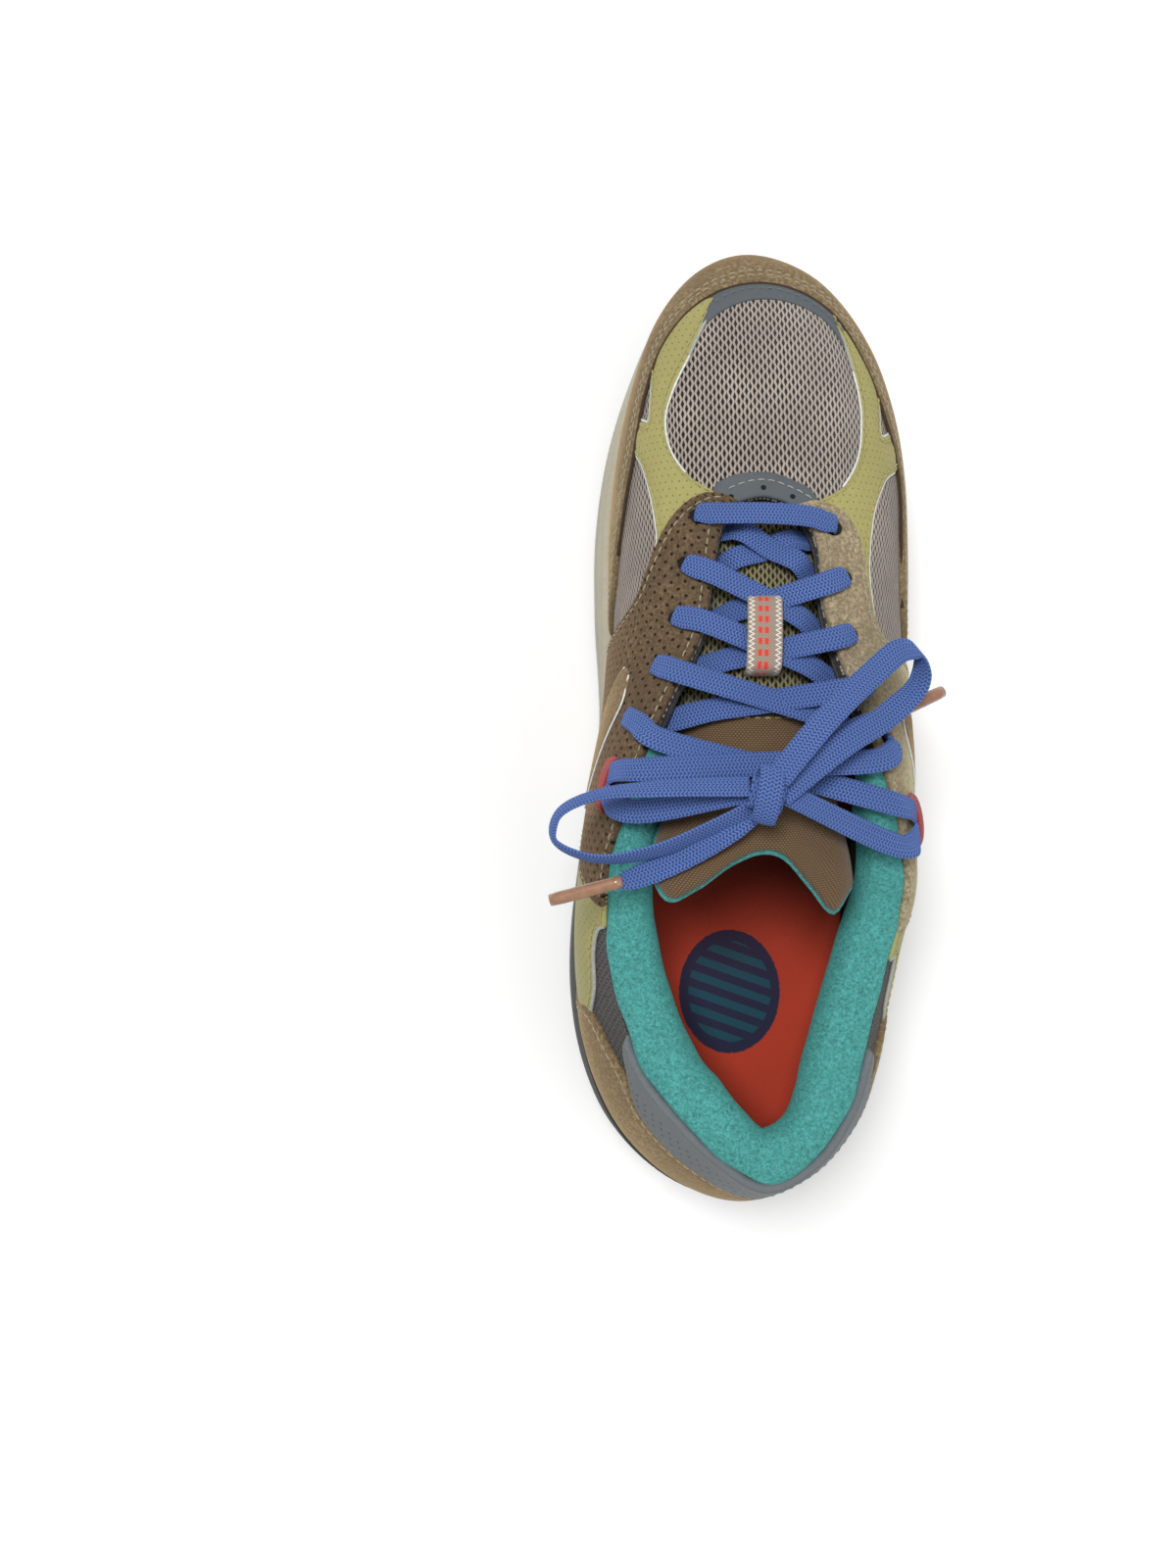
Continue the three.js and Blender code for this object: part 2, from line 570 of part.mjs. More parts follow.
// A half space in front of a plane that leans back by lean radians, at y on the ground.
function inFront(y, lean) {
  const shape = new THREE.BoxGeometry(400, 400, 400).translate(0, 200, 0).rotateX(lean);
  return manifoldOf(shape.translate(0, y, 0));
}

function sole() {
  const tread = manifoldOf(
    outFacing(ringSolid([
      soleRing(flare(0.55), ground),
      soleRing(flare(0.85), (y) => ground(y) + 1.6),
      soleRing(flare(0.93), (y) => treadTop(y) - clearance),
    ])),
  );
  const cutAt = { front: 8 * scaleY, back: -34 * scaleY };
  const beyond = 300; // past the sole on every side
  const grooveTop = (y) => ground(y / scaleY) + treadGroove.depth;
  let forefoot = tread.intersect(inFront(cutAt.front, 0));
  let heel = tread.subtract(inFront(cutAt.back, 0));
  let shank = tread.intersect(inFront(cutAt.back + clearance, 0)).subtract(inFront(cutAt.front - clearance, 0));
  shank = shank.subtract(box(-beyond, beyond, -beyond, beyond, -5, 1.5));
  for (let y = cutAt.front + treadGroove.pitch; y < 140 * scaleY; y += treadGroove.pitch) {
    forefoot = forefoot.subtract(box(-beyond, beyond, y, y + treadGroove.width, -5, grooveTop(y)));
  }
  for (let y = cutAt.back - treadGroove.pitch * 1.5; y > -150 * scaleY; y -= treadGroove.pitch * 1.5) {
    heel = heel.subtract(box(-beyond, beyond, y, y + treadGroove.width, -5, grooveTop(y)));
  }
  add("outsole_forefoot", geometryOf(forefoot), colors.rubber, 0.7);
  add("outsole_heel", geometryOf(heel), colors.rubber, 0.7);
  add("midfoot_shank", geometryOf(shank), colors.black, 0.4);
  const midsole = manifoldOf(
    outFacing(ringSolid([
      soleRing(flare(0.93), treadTop),
      soleRing(flare(1), between(0.35)),
      soleRing(flare(0.9), between(0.7)),
      soleRing(flare(0.3, -2.6), (y) => rimTop(y) - 1.3),
      soleRing(() => 0, (y) => rimTop(y) - 0.1),
      soleRing(() => -rimInset, (y) => rimTop(y) - 0.1),
      soleRing(() => -rimInset - 1, footbedFloor),
    ])),
  );
  const lean = 0.35;
  const splitAt = -18 * scaleY;
  const front = midsole.intersect(inFront(splitAt, lean));
  const back = midsole.subtract(inFront(splitAt - clearance, lean));
  const rimCut = 25;
  add("midsole_forefoot", geometryOf(front), colors.cream, 0.8);
  add("midsole_heel_rim", geometryOf(back.intersect(box(-beyond, beyond, -beyond, beyond, rimCut, 60))), colors.black, 0.8);
  const core = back.intersect(box(-beyond, beyond, -beyond, beyond, 0, rimCut - clearance));
  add("midsole_heel_core", geometryOf(core), colors.rim, 0.8);
  const slab = (name, less, low, thick, color) => {
    const ring = (extra) => soleRing(() => -rimInset - 1 - less, (y) => footbedFloor(y) + low + extra);
    return add(name, outFacing(ringSolid([ring(0), ring(thick)])), color);
  };
  const boardLow = clearance;
  const bedLow = boardLow + boardThickness + clearance;
  const coverLow = bedLow + footbedThickness + clearance;
  slab("strobel_board", 0.4, boardLow, boardThickness, colors.board);
  slab("sockliner", 1.2, bedLow, footbedThickness, colors.foam);
  slab("sockliner_cover", 1.2, coverLow, footbedCover, colors.insole);
}

// --- The tongue: three layers that arch across the instep. ---
const tongueHeight = [[-42, 108], [-20, 99.5], [0, 91.8], [30, 82.8], [60, 73], [84, 66.5]];
const tongueCentre = [[-42, -7], [0, -3], [60, 0], [84, 0]];
const tongueHalfWidth = [[-42, 16], [-38, 19.5], [-28, 21.5], [-10, 22.5], [10, 25], [30, 25], [60, 21], [84, 18]];
const tongueDrop = [[-42, 8], [0, 10.5], [30, 10], [60, 7], [84, 5]];
const tongueRows = [-41, -35, -27, -16, -4, 8, 20, 32, 44, 56, 66, 74, 83];

// A point of the tongue: y along the shoe, u from -1 to 1 across it, and depth below its top face.
function onTongue(y, u, depth) {
  const x = along(tongueCentre, y) + u * along(tongueHalfWidth, y);
  return new THREE.Vector3(x * scaleX, y * scaleY, along(tongueHeight, y) - along(tongueDrop, y) * u * u - depth);
}

// One layer between two rows, top millimetres under the tongue's top face.
function tongueLayer(from, to, top, thick, across) {
  const sections = tongueRows.slice(from, to).map((y) => {
    const upper = across.map((u) => onTongue(y, u, top));
    const lower = across.map((u) => onTongue(y, u, top + thick)).reverse();
    return [...upper, ...lower];
  });
  return loft(sections);
}

function tongue() {
  const skin = 1;
  const pad = tonguePad - 2 * (skin + clearance);
  const wide = [-1, -0.6, -0.2, 0.2, 0.6, 1];
  const inner = [-0.9, -0.6, -0.2, 0.2, 0.6, 0.9];
  add("tongue_shell", tongueLayer(0, tongueRows.length, 0, skin, wide), colors.brown);
  add("tongue_foam", tongueLayer(1, 10, skin + 2 * clearance, pad, inner), colors.foam);
  add("tongue_lining", tongueLayer(0, 11, tonguePad - skin + clearance, skin, wide), colors.teal);
}

// --- The flat lace. ---
// A ribbon along a line of { at, width, face }, where face points out of its flat side.
function ribbon(line, thickness = laceThickness) {
  return loft(
    line.map(({ at, width, face }, k) => {
      const before = line[Math.max(k - 1, 0)].at;
      const after = line[Math.min(k + 1, line.length - 1)].at;
      const tangent = after.clone().sub(before).normalize();
      const across = face.clone().cross(tangent).normalize();
      const lift = tangent.clone().cross(across).normalize();
      return [[-1, -1], [1, -1], [1, 1], [-1, 1]].map(([w, h]) =>
        at.clone().addScaledVector(across, (w * width) / 2).addScaledVector(lift, (h * thickness) / 2),
      );
    }),
  );
}

const laceFace = new THREE.Vector3(0, 0.37, 0.93);
const laceTop = overlayOuter + (laceThickness / 2 + laceOver); // depth of a lace that lies on the saddle
const laceUnder = liningInner - (laceThickness / 2 + laceGap); // depth of a lace that runs under the saddle
const holeWidth = eyeletRadius * 1.3;
const threaded = ([s, t]) => [
  { at: onUpper(s, t, laceUnder), width: holeWidth, face: new THREE.Vector3(0, 1, 0) },
  { at: onUpper(s, t, laceTop), width: holeWidth, face: upperNormal(s, t) },
];

// From one eyelet, over the edge of the throat, across, and under the other edge to the next eyelet.
function strap(from, to, lift) {
  const step = from[0] < stations / 2 ? 0.35 : -0.35;
  const overEdge = onUpper(from[0] - step, 1, laceTop + 1);
  const edgeFace = upperNormal(from[0] - step, 0.95).add(laceFace);
  const underEdge = onUpper(to[0] - step, 1, laceUnder);
  const middle = overEdge.clone().lerp(underEdge, 0.5).addScaledVector(laceFace, lift);
  return ribbon([
    ...threaded(from),
    { at: overEdge, width: laceWidth, face: edgeFace },
    { at: middle, width: laceWidth, face: laceFace },
    { at: underEdge, width: laceWidth, face: laceFace },
    { at: onUpper(to[0], to[1], laceUnder), width: holeWidth, face: upperNormal(...to) },
  ]);
}

const knotAt = new THREE.Vector3(-5, -21, 117);
const knotSize = [8.5, 7.5, 6];
function knot(extra = 0) {
  const [x, y, z] = knotSize;
  const ball = new THREE.SphereGeometry(1, 12, 7).scale(x + extra, y + extra, z + extra);
  return manifoldOf(ball.translate(knotAt.x, knotAt.y, knotAt.z));
}

const overCollar = 7; // how far the last straps ride above the rim
const keeper = { lateral: [7.25, 0.84], medial: [24.75, 0.8] };

// From the last eyelet, across to the webbing loop on the other side, and back to the knot.
function lastStrap(from, side, lift) {
  const [s, t] = keeper[side];
  const step = side === "lateral" ? 0.3 : -0.3;
  const flat = (at, width = laceWidth) => ({ at, width, face: laceFace });
  const rim = (at, high) => onUpper(at, 1, 0).addScaledVector(up, high);
  const away = rim(from[0] + step, overCollar - 2);
  const near = rim(s + step, overCollar);
  const out = upperNormal(s, t);
  return ribbon([
    ...threaded(from),
    { at: onUpper(from[0] + step / 2, 0.93, laceTop + 1.2), width: laceWidth * 0.8, face: upperNormal(from[0], 0.93) },
    flat(away),
    flat(away.clone().lerp(near, 0.5).addScaledVector(up, lift)),
    flat(near),
    { at: onUpper(s + step * 0.5, t + 0.07, laceTop + 1), width: laceWidth * 0.8, face: out },
    { at: onUpper(s, t - 0.03, laceTop), width: laceWidth * 0.8, face: out },
    { at: onUpper(s - step * 0.5, t + 0.07, laceTop + 1), width: laceWidth * 0.8, face: out },
    flat(rim(s - step, overCollar)),
    flat(knotAt.clone(), laceWidth * 0.7),
  ]);
}

function laced() {
  const pieces = [knot()];
  const first = [eyelets.medial[0], eyelets.lateral[0]];
  const middle = new THREE.Vector3(0.5 * scaleX, 61 * scaleY, 84);
  pieces.push(ribbon([
    ...threaded(first[0]),
    { at: onUpper(18.9, 1, laceTop + 1), width: laceWidth, face: laceFace },
    { at: middle, width: laceWidth, face: laceFace },
    { at: onUpper(13.1, 1, laceTop + 1), width: laceWidth, face: laceFace },
    ...threaded(first[1]).reverse(),
  ]));
  for (let k = 0; k < 4; k++) {
    pieces.push(strap(eyelets.medial[k], eyelets.lateral[k + 1], 2));
    pieces.push(strap(eyelets.lateral[k], eyelets.medial[k + 1], 0.9));
  }
  pieces.push(lastStrap(eyelets.medial[4], "lateral", 0));
  pieces.push(lastStrap(eyelets.lateral[4], "medial", 1.1));
  const solid = pieces.map((p) => (p instanceof Manifold ? p : manifoldOf(p))).reduce((a, b) => a.add(b));
  add("shoelace", geometryOf(solid), colors.lace, 0.9);
}

// A free ribbon through points [x, y, z].
function freeRibbon(points, steps) {
  const curve = new THREE.CatmullRomCurve3(points.map((p) => new THREE.Vector3(...p)), false, "centripetal");
  return curve.getPoints(steps).map((at) => ({ at, width: laceWidth, face: up }));
}

const bows = {
  lateral: {
    loop: [[-3, -15, 120], [13, -1, 114], [26, 12, 107], [36, 19, 101], [42, 13, 98], [31, 2, 104], [17, -5, 111], [2, -15, 117]],
    tail: [[10, -12, 111], [22, -4, 104], [32, 0, 98]],
    tip: [50, 8, 89],
  },
  medial: {
    loop: [[-12, -18, 117], [-33, -19.5, 116], [-51, -21, 107], [-61, -28, 101], [-58, -36.5, 100], [-42, -40, 105],
      [-28, -35, 111], [-8, -27, 114]],
    tail: [[-12, -29, 112], [-28, -39, 107.5], [-43, -45, 103.5]],
    tip: [-61, -49.5, 99],
  },
};

function laceEnds() {
  for (const side of ["lateral", "medial"]) {
    const { loop, tail, tip } = bows[side];
    const end = new THREE.Vector3(...tail[2]);
    const way = new THREE.Vector3(...tip).sub(end).normalize();
    const last = end.clone().addScaledVector(way, 1).toArray();
    const pieces = [freeRibbon(loop, 16), freeRibbon([loop[loop.length - 1], ...tail, last], 6)];
    const solid = pieces.map((line) => manifoldOf(ribbon(line))).reduce((a, b) => a.add(b));
    add("lace_end_" + side, geometryOf(solid.subtract(knot(clearance))), colors.lace, 0.9);
    const barrel = new THREE.CylinderGeometry(aglet.radius, aglet.radius, aglet.length, 10);
    const turn = new THREE.Quaternion().setFromUnitVectors(new THREE.Vector3(0, 1, 0), way);
    const at = end.clone().addScaledVector(way, 1 + clearance + aglet.length / 2);
    add("aglet_" + side, barrel.applyQuaternion(turn).translate(at.x, at.y, at.z), colors.copper, 0.4);
  }
}

function webbing() {
  for (const side of ["lateral", "medial"]) {
    const [s, t] = keeper[side];
    const out = upperNormal(s, t);
    const line = [[-0.5, 1.4], [-0.42, 3.6], [-0.2, 5], [0.2, 5], [0.42, 3.6], [0.5, 1.4]].map(([along1, high]) => ({
      at: onUpper(s + along1, t, overlayOuter + high),
      width: 6,
      face: out,
    }));
    add("webbing_loop_" + side, ribbon(line, 1.2), colors.red);
  }
  const heights = [[34, 8.2], [27, 8.4], [19, 8.4], [14.5, 7.4], [12.2, 4.5], [10.8, 1.2]];
  const label = heights.map(([y, high]) => ({ at: onTongue(y, 0, -high), width: 10, face: laceFace }));
  add("tongue_label", ribbon(label, 1), colors.label);
}

overlays();
baseLayers();
collar();
sole();
tongue();
webbing();
laced();
laceEnds();

export default shoe;
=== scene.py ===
"""A laced running shoe for the right foot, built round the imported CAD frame."""
import math
from contextlib import contextmanager
from functools import partialmethod

import bmesh
import bpy
import numpy as np
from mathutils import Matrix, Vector
from mathutils.geometry import delaunay_2d_cdt


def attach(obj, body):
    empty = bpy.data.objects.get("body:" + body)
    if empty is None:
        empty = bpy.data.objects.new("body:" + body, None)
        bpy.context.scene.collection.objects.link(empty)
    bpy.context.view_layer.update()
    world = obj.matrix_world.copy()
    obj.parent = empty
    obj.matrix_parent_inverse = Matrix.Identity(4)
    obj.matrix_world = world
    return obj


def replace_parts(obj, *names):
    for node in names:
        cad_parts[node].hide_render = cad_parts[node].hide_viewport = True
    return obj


MM = 0.001
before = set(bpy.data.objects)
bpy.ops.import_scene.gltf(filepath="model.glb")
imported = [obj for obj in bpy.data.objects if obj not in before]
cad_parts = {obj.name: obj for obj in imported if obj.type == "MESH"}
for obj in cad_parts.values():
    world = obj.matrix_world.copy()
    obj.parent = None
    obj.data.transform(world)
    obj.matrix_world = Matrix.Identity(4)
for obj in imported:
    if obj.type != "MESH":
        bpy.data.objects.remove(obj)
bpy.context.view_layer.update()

# ---------------------------------------------------------------- the shoe's surface, in millimetres
# Stations round the shoe: 0 heel back, 1 to 15 lateral side, 16 toe tip, 17 to 31 medial side.
FEATHER = [
    (-6, -148), (14, -142), (28, -127), (34.5, -107), (37, -87), (38.5, -67), (40.5, -47), (43.5, -27),
    (46, -7), (48.5, 13), (50, 36), (50.5, 61), (48.5, 86), (44, 108.5), (35, 129), (20.5, 145.5),
    (2, 152.5), (-13.5, 148), (-25.5, 134.5), (-33.5, 114.5), (-39, 91.5), (-42, 66), (-42.5, 42), (-43, 19),
    (-44.5, -3), (-48, -25), (-50.5, -46), (-52, -68), (-51, -90), (-47, -110), (-38.5, -128), (-24, -142),
]
OPENING = [
    (-1, -131.5), (13, -124.5), (22.5, -112), (27, -101), (31, -88), (36, -69), (39, -51), (36.5, -34),
    (31.5, -16), (25.5, 2), (19.5, 18), (16, 34), (15.5, 50), (12, 60), (7, 64), (3, 65.5),
    (0, 66), (-3.5, 65.5), (-7.5, 64), (-11, 61), (-13.5, 52), (-16, 37), (-19, 24), (-27, 8),
    (-34, -7), (-40, -24), (-45, -42), (-46, -62), (-43, -81), (-35.5, -101), (-26, -113), (-14.5, -124),
]
FEATHER_Z = [(-150, 42), (-67, 40), (-27, 36.5), (13, 31), (60, 27), (108, 28), (152, 32)]
OPENING_Z = [
    (-132, 94), (-124, 92.5), (-112, 89.5), (-101, 86), (-80, 82.5), (-62, 83), (-42, 90), (-24, 94.5),
    (-7, 95.5), (8, 93.5), (24, 89), (37, 85), (52, 81), (61, 79), (66, 78),
]
LOW_BULGE = [(-148, 2), (-100, 5), (-27, 4), (36, 2), (151, 2)]
LOW_RISE = [(-148, 16), (-67, 15), (-27, 20), (13, 22), (60, 22), (108, 24), (151, 25)]
HIGH_REACH = [
    (-148, 4), (-100, 7), (-50, 8), (-27, 9), (13, 14), (36, 18), (61, 23), (86, 28), (108, 32), (128, 38), (151, 44),
]
HIGH_DROP = [(-148, 14), (-50, 12), (-27, 10), (13, 7), (61, 4), (86, 5), (108, 8), (151, 12)]
SOLE_FLARE = [(-148, 7.5), (-90, 6.5), (-40, 4), (0, 3.5), (36, 6.5), (61, 7), (90, 6.5), (125, 4.5), (152, 3)]
GROUND = [(-155, 5), (-138, 1.2), (-120, 0), (70, 0), (100, 2.5), (130, 8), (156, 15)]
STATIONS = len(FEATHER)


def unit(v):
    """Vectors of length 1, along the last axis."""
    v = np.asarray(v, float)
    return v / np.maximum(np.linalg.norm(v, axis=-1, keepdims=True), 1e-9)


def along(knots, at):
    """A smooth curve through (x, value) knots, for an array of x."""
    x, v = np.array(knots, float).T
    slope = np.diff(v) / np.diff(x)
    tangent = np.concatenate([slope[:1], (slope[1:] + slope[:-1]) / 2, slope[-1:]])
    at = np.clip(np.asarray(at, float), x[0], x[-1])
    i = np.clip(np.searchsorted(x, at) - 1, 0, len(x) - 2)
    h = x[i + 1] - x[i]
    f = (at - x[i]) / h
    return (
        (2 * f**3 - 3 * f**2 + 1) * v[i]
        + (f**3 - 2 * f**2 + f) * h * tangent[i]
        + (3 * f**2 - 2 * f**3) * v[i + 1]
        + (f**3 - f**2) * h * tangent[i + 1]
    )


def ring(line, s):
    """Points of a closed line of stations."""
    line = np.array(line, float)
    s = np.asarray(s, float)
    i = np.floor(s).astype(int)
    f = (s - i)[..., None]
    a, b, c, d = [line[(i + k) % STATIONS] for k in (-1, 0, 1, 2)]
    return 0.5 * (2 * b + (c - a) * f + (2 * a - 5 * b + 4 * c - d) * f**2 + (3 * b - 3 * c + d - a) * f**3)


def outwards(s):
    step = ring(FEATHER, np.asarray(s) + 1e-3) - ring(FEATHER, np.asarray(s) - 1e-3)
    return unit(np.stack([step[..., 1], -step[..., 0], 0 * step[..., 0]], -1))


def surface(s, t):
    """The upper's outer face: t is 0 at the feather line and 1 at the opening."""
    s, t = np.broadcast_arrays(np.asarray(s, float), np.asarray(t, float))
    feather, opening, out = ring(FEATHER, s), ring(OPENING, s), outwards(s)
    y = feather[..., 1]
    p0 = np.concatenate([feather, along(FEATHER_Z, y)[..., None]], -1)
    p3 = np.concatenate([opening, along(OPENING_Z, opening[..., 1])[..., None]], -1)
    p1 = p0 + out * along(LOW_BULGE, y)[..., None]
    p1[..., 2] += along(LOW_RISE, y)
    p2 = p3 + out * along(HIGH_REACH, y)[..., None]
    p2[..., 2] -= along(HIGH_DROP, y)
    t = t[..., None]
    return (1 - t) ** 3 * p0 + 3 * t * (1 - t) ** 2 * p1 + 3 * t * t * (1 - t) * p2 + t**3 * p3


def normal(s, t):
    h = 1e-3
    return unit(np.cross(surface(s + h, t) - surface(s - h, t), surface(s, t + h) - surface(s, t - h)))


def lifted(s, t, depth):
    """Points at a depth off the upper's face."""
    s, t = np.asarray(s, float), np.asarray(t, float)
    return surface(s, t) + normal(s, t) * np.asarray(depth, float)[..., None]


# ---------------------------------------------------------------- shader nodes
class Shader:
    """A material's node tree, with a short call for each node."""

    def __init__(self, name):
        self.material = bpy.data.materials.new(name)
        self.material.use_nodes = True
        self.tree = self.material.node_tree
        self.tree.nodes.clear()
        self.bsdf = self.node("ShaderNodeBsdfPrincipled")
        out = self.node("ShaderNodeOutputMaterial")
        self.tree.links.new(self.bsdf.outputs[0], out.inputs[0])

    def node(self, kind, **settings):
        node = self.tree.nodes.new(kind)
        for key, value in settings.items():
            setattr(node, key, value)
        return node

    def put(self, socket, value):
        if isinstance(value, bpy.types.NodeSocket):
            self.tree.links.new(value, socket)
        elif value is not None:
            if isinstance(value, (tuple, list)) and len(value) == 3 and socket.type == "RGBA":
                value = (*value, 1)
            socket.default_value = value

    def math(self, op, a, b=None, c=None, clamp=False):
        node = self.node("ShaderNodeMath", operation=op, use_clamp=clamp)
        for socket, value in zip(node.inputs, (a, b, c)):
            self.put(socket, value)
        return node.outputs[0]

    mul = partialmethod(math, "MULTIPLY")
    div = partialmethod(math, "DIVIDE")
    add = partialmethod(math, "ADD")
    sub = partialmethod(math, "SUBTRACT")
    flip = partialmethod(math, "SUBTRACT", 1.0)
    size = partialmethod(math, "ABSOLUTE")
    fract = partialmethod(math, "FRACT")
    sine = partialmethod(math, "SINE")

    def uv(self):
        node = self.node("ShaderNodeUVMap", uv_map="UVMap")
        split = self.node("ShaderNodeSeparateXYZ")
        self.put(split.inputs[0], node.outputs[0])
        return node.outputs[0], split.outputs[0], split.outputs[1]

    def place(self):
        """Object coordinates, in metres."""
        return self.node("ShaderNodeTexCoord").outputs["Object"]

    def vector(self, x, y, z=0.0):
        node = self.node("ShaderNodeCombineXYZ")
        for socket, value in zip(node.inputs, (x, y, z)):
            self.put(socket, value)
        return node.outputs[0]

    def noise(self, vector, scale, detail=3.0, rough=0.55, distortion=0.0):
        node = self.node("ShaderNodeTexNoise")
        self.put(node.inputs["Vector"], vector)
        for key, value in (("Scale", scale), ("Detail", detail), ("Roughness", rough), ("Distortion", distortion)):
            node.inputs[key].default_value = value
        return node.outputs["Fac"]

    def ramp(self, fac, stops):
        node = self.node("ShaderNodeValToRGB")
        self.put(node.inputs[0], fac)
        elements = node.color_ramp.elements
        while len(elements) < len(stops):
            elements.new(0.5)
        for element, (at, color) in zip(elements, stops):
            element.position = at
            element.color = (*color, 1) if isinstance(color, (tuple, list)) else (color, color, color, 1)
        return node.outputs[0]

    def mix(self, fac, a, b, kind="MIX"):
        node = self.node("ShaderNodeMix", data_type="RGBA", blend_type=kind)
        self.put(node.inputs[0], fac)
        self.put(node.inputs[6], a)
        self.put(node.inputs[7], b)
        return node.outputs[2]

    def step(self, value, low, high):
        """0 below low, 1 above high, smooth between."""
        node = self.node("ShaderNodeMapRange", interpolation_type="SMOOTHSTEP")
        for socket, v in zip(node.inputs, (value, low, high, 0.0, 1.0)):
            self.put(socket, v)
        return node.outputs[0]

    def bump(self, height, strength, distance, normal=None):
        node = self.node("ShaderNodeBump")
        node.inputs["Strength"].default_value = strength
        node.inputs["Distance"].default_value = distance * MM
        self.put(node.inputs["Height"], height)
        self.put(node.inputs["Normal"], normal)
        return node.outputs[0]

    def cells(self, u, v, pitch_u, pitch_v, stagger=0.5):
        """Offsets in millimetres from the middle of the nearest cell of a staggered grid."""
        row = self.math("FLOOR", self.div(v, pitch_v))
        shift = self.mul(self.math("MODULO", row, 2.0), stagger)
        x = self.add(self.div(u, pitch_u), shift)
        dx = self.mul(self.sub(self.fract(x), 0.5), pitch_u)
        dy = self.mul(self.sub(self.fract(self.div(v, pitch_v)), 0.5), pitch_v)
        return dx, dy

    def radius(self, dx, dy):
        return self.math("SQRT", self.add(self.mul(dx, dx), self.mul(dy, dy)))

    def finish(self, color, rough, bump=None, sheen=0.0, sheen_tint=(1, 1, 1), specular=0.3, coat=0.0):
        self.put(self.bsdf.inputs["Base Color"], color)
        self.put(self.bsdf.inputs["Roughness"], rough)
        self.put(self.bsdf.inputs["Normal"], bump)
        self.bsdf.inputs["Sheen Weight"].default_value = sheen
        self.bsdf.inputs["Sheen Roughness"].default_value = 0.45
        self.bsdf.inputs["Sheen Tint"].default_value = (*sheen_tint, 1)
        self.bsdf.inputs["Specular IOR Level"].default_value = specular
        self.bsdf.inputs["Coat Weight"].default_value = coat
        return self.material


def shade(color, factor):
    return tuple(min(1.0, c * factor) for c in color)


def suede(name, color, holes=False, sheen=0.35):
    m = Shader(name)
    uv, u, v = m.uv()
    place = m.place()
    cloud = m.noise(place, 55.0, 4.0, 0.6)
    nap = m.noise(place, 900.0, 3.0, 0.7)
    brush = m.noise(m.vector(m.mul(u, 0.18), m.mul(v, 0.6)), 1.0, 4.0, 0.65, 0.8)
    tone = m.ramp(m.add(m.mul(cloud, 0.55), m.mul(brush, 0.45)),
                  [(0.36, shade(color, 0.66)), (0.5, color), (0.64, shade(color, 1.5))])
    scuff = m.noise(m.vector(m.mul(u, 0.5), m.mul(v, 1.3)), 1.0, 5.0, 0.75, 0.5)
    tone = m.mix(m.mul(m.step(scuff, 0.5, 0.68), 0.6), tone, shade(color, 1.5))
    tone = m.mix(m.step(nap, 0.38, 0.66), shade(color, 0.58), tone)
    height = m.add(m.mul(nap, 0.6), m.mul(m.noise(place, 2600.0, 2.0, 0.7), 0.4))
    bump = m.bump(height, 0.55, 0.35)
    if holes:
        dx, dy = m.cells(u, v, 4.4, 2.2)
        hole = m.flip(m.step(m.radius(dx, dy), 0.42, 0.62))
        tone = m.mix(hole, tone, shade(color, 0.12))
        bump = m.bump(m.flip(hole), 1.0, 0.5, bump)
    return m.finish(tone, 0.95, bump, sheen=sheen, sheen_tint=shade(color, 3.5), specular=0.1)


def nubuck(name, color, dots=(2.6, 2.2, 0.2), dark=0.4, band=None):
    """Smooth leather with fine pin holes, which band keeps between two values of v."""
    m = Shader(name)
    uv, u, v = m.uv()
    place = m.place()
    cloud = m.noise(place, 38.0, 4.0, 0.6)
    grain = m.noise(place, 1500.0, 3.0, 0.6)
    tone = m.ramp(cloud, [(0.3, shade(color, 0.84)), (0.55, color), (0.75, shade(color, 1.14))])
    tone = m.mix(m.step(grain, 0.3, 0.7), shade(color, 0.86), tone)
    pitch_u, pitch_v, size = dots
    dx, dy = m.cells(u, v, pitch_u, pitch_v)
    pin = m.flip(m.step(m.radius(dx, dy), size, size + 0.16))
    if band:
        low, high = band
        above_low, below_high = m.step(v, low, low + 0.2), m.flip(m.step(v, high, high + 0.2))
        pin = m.mul(pin, m.mul(above_low, below_high))
    tone = m.mix(m.mul(pin, 0.75), tone, shade(color, dark))
    bump = m.bump(grain, 0.25, 0.2)
    bump = m.bump(m.flip(pin), 0.7, 0.2, bump)
    return m.finish(tone, 0.72, bump, sheen=0.08, specular=0.3)


def open_mesh(name, thread, hole, pitch=(2.1, 1.25), fine=0.55):
    """A knitted mesh: staggered oval holes between fine twisted threads."""
    m = Shader(name)
    uv, u, v = m.uv()
    wale = m.div(u, pitch[0] / 2)
    sign = m.sub(m.mul(m.math("FLOORED_MODULO", m.math("FLOOR", wale), 2.0), 2.0), 1.0)
    x = m.mul(m.sub(m.fract(wale), 0.5), pitch[0] / 2)
    swing = m.sub(m.size(m.sub(m.fract(m.div(v, pitch[1] * 2)), 0.5)), 0.25)
    wobble = m.mul(m.sub(m.noise(uv, 1.3, 2.0), 0.5), 0.3)
    zig = m.add(m.mul(m.mul(swing, sign), 1.15), wobble)
    off = m.size(m.sub(x, zig))
    open_ = m.step(off, 0.24, 0.46)
    twist = m.sine(m.mul(m.add(v, m.mul(x, 1.3)), 2 * math.pi / fine))
    knit = m.mul(m.add(twist, 1.0), 0.5)
    cloud = m.noise(m.place(), 45.0, 3.0, 0.6)
    tone = m.mix(m.step(cloud, 0.35, 0.7), shade(thread, 0.82), shade(thread, 1.12))
    tone = m.mix(m.step(knit, 0.1, 0.8), shade(thread, 0.32), tone)
    tone = m.mix(open_, tone, hole)
    height = m.sub(m.mul(knit, 0.3), open_)
    bump = m.bump(height, 0.8, 0.5)
    return m.finish(tone, 0.8, bump, sheen=0.25, specular=0.25)


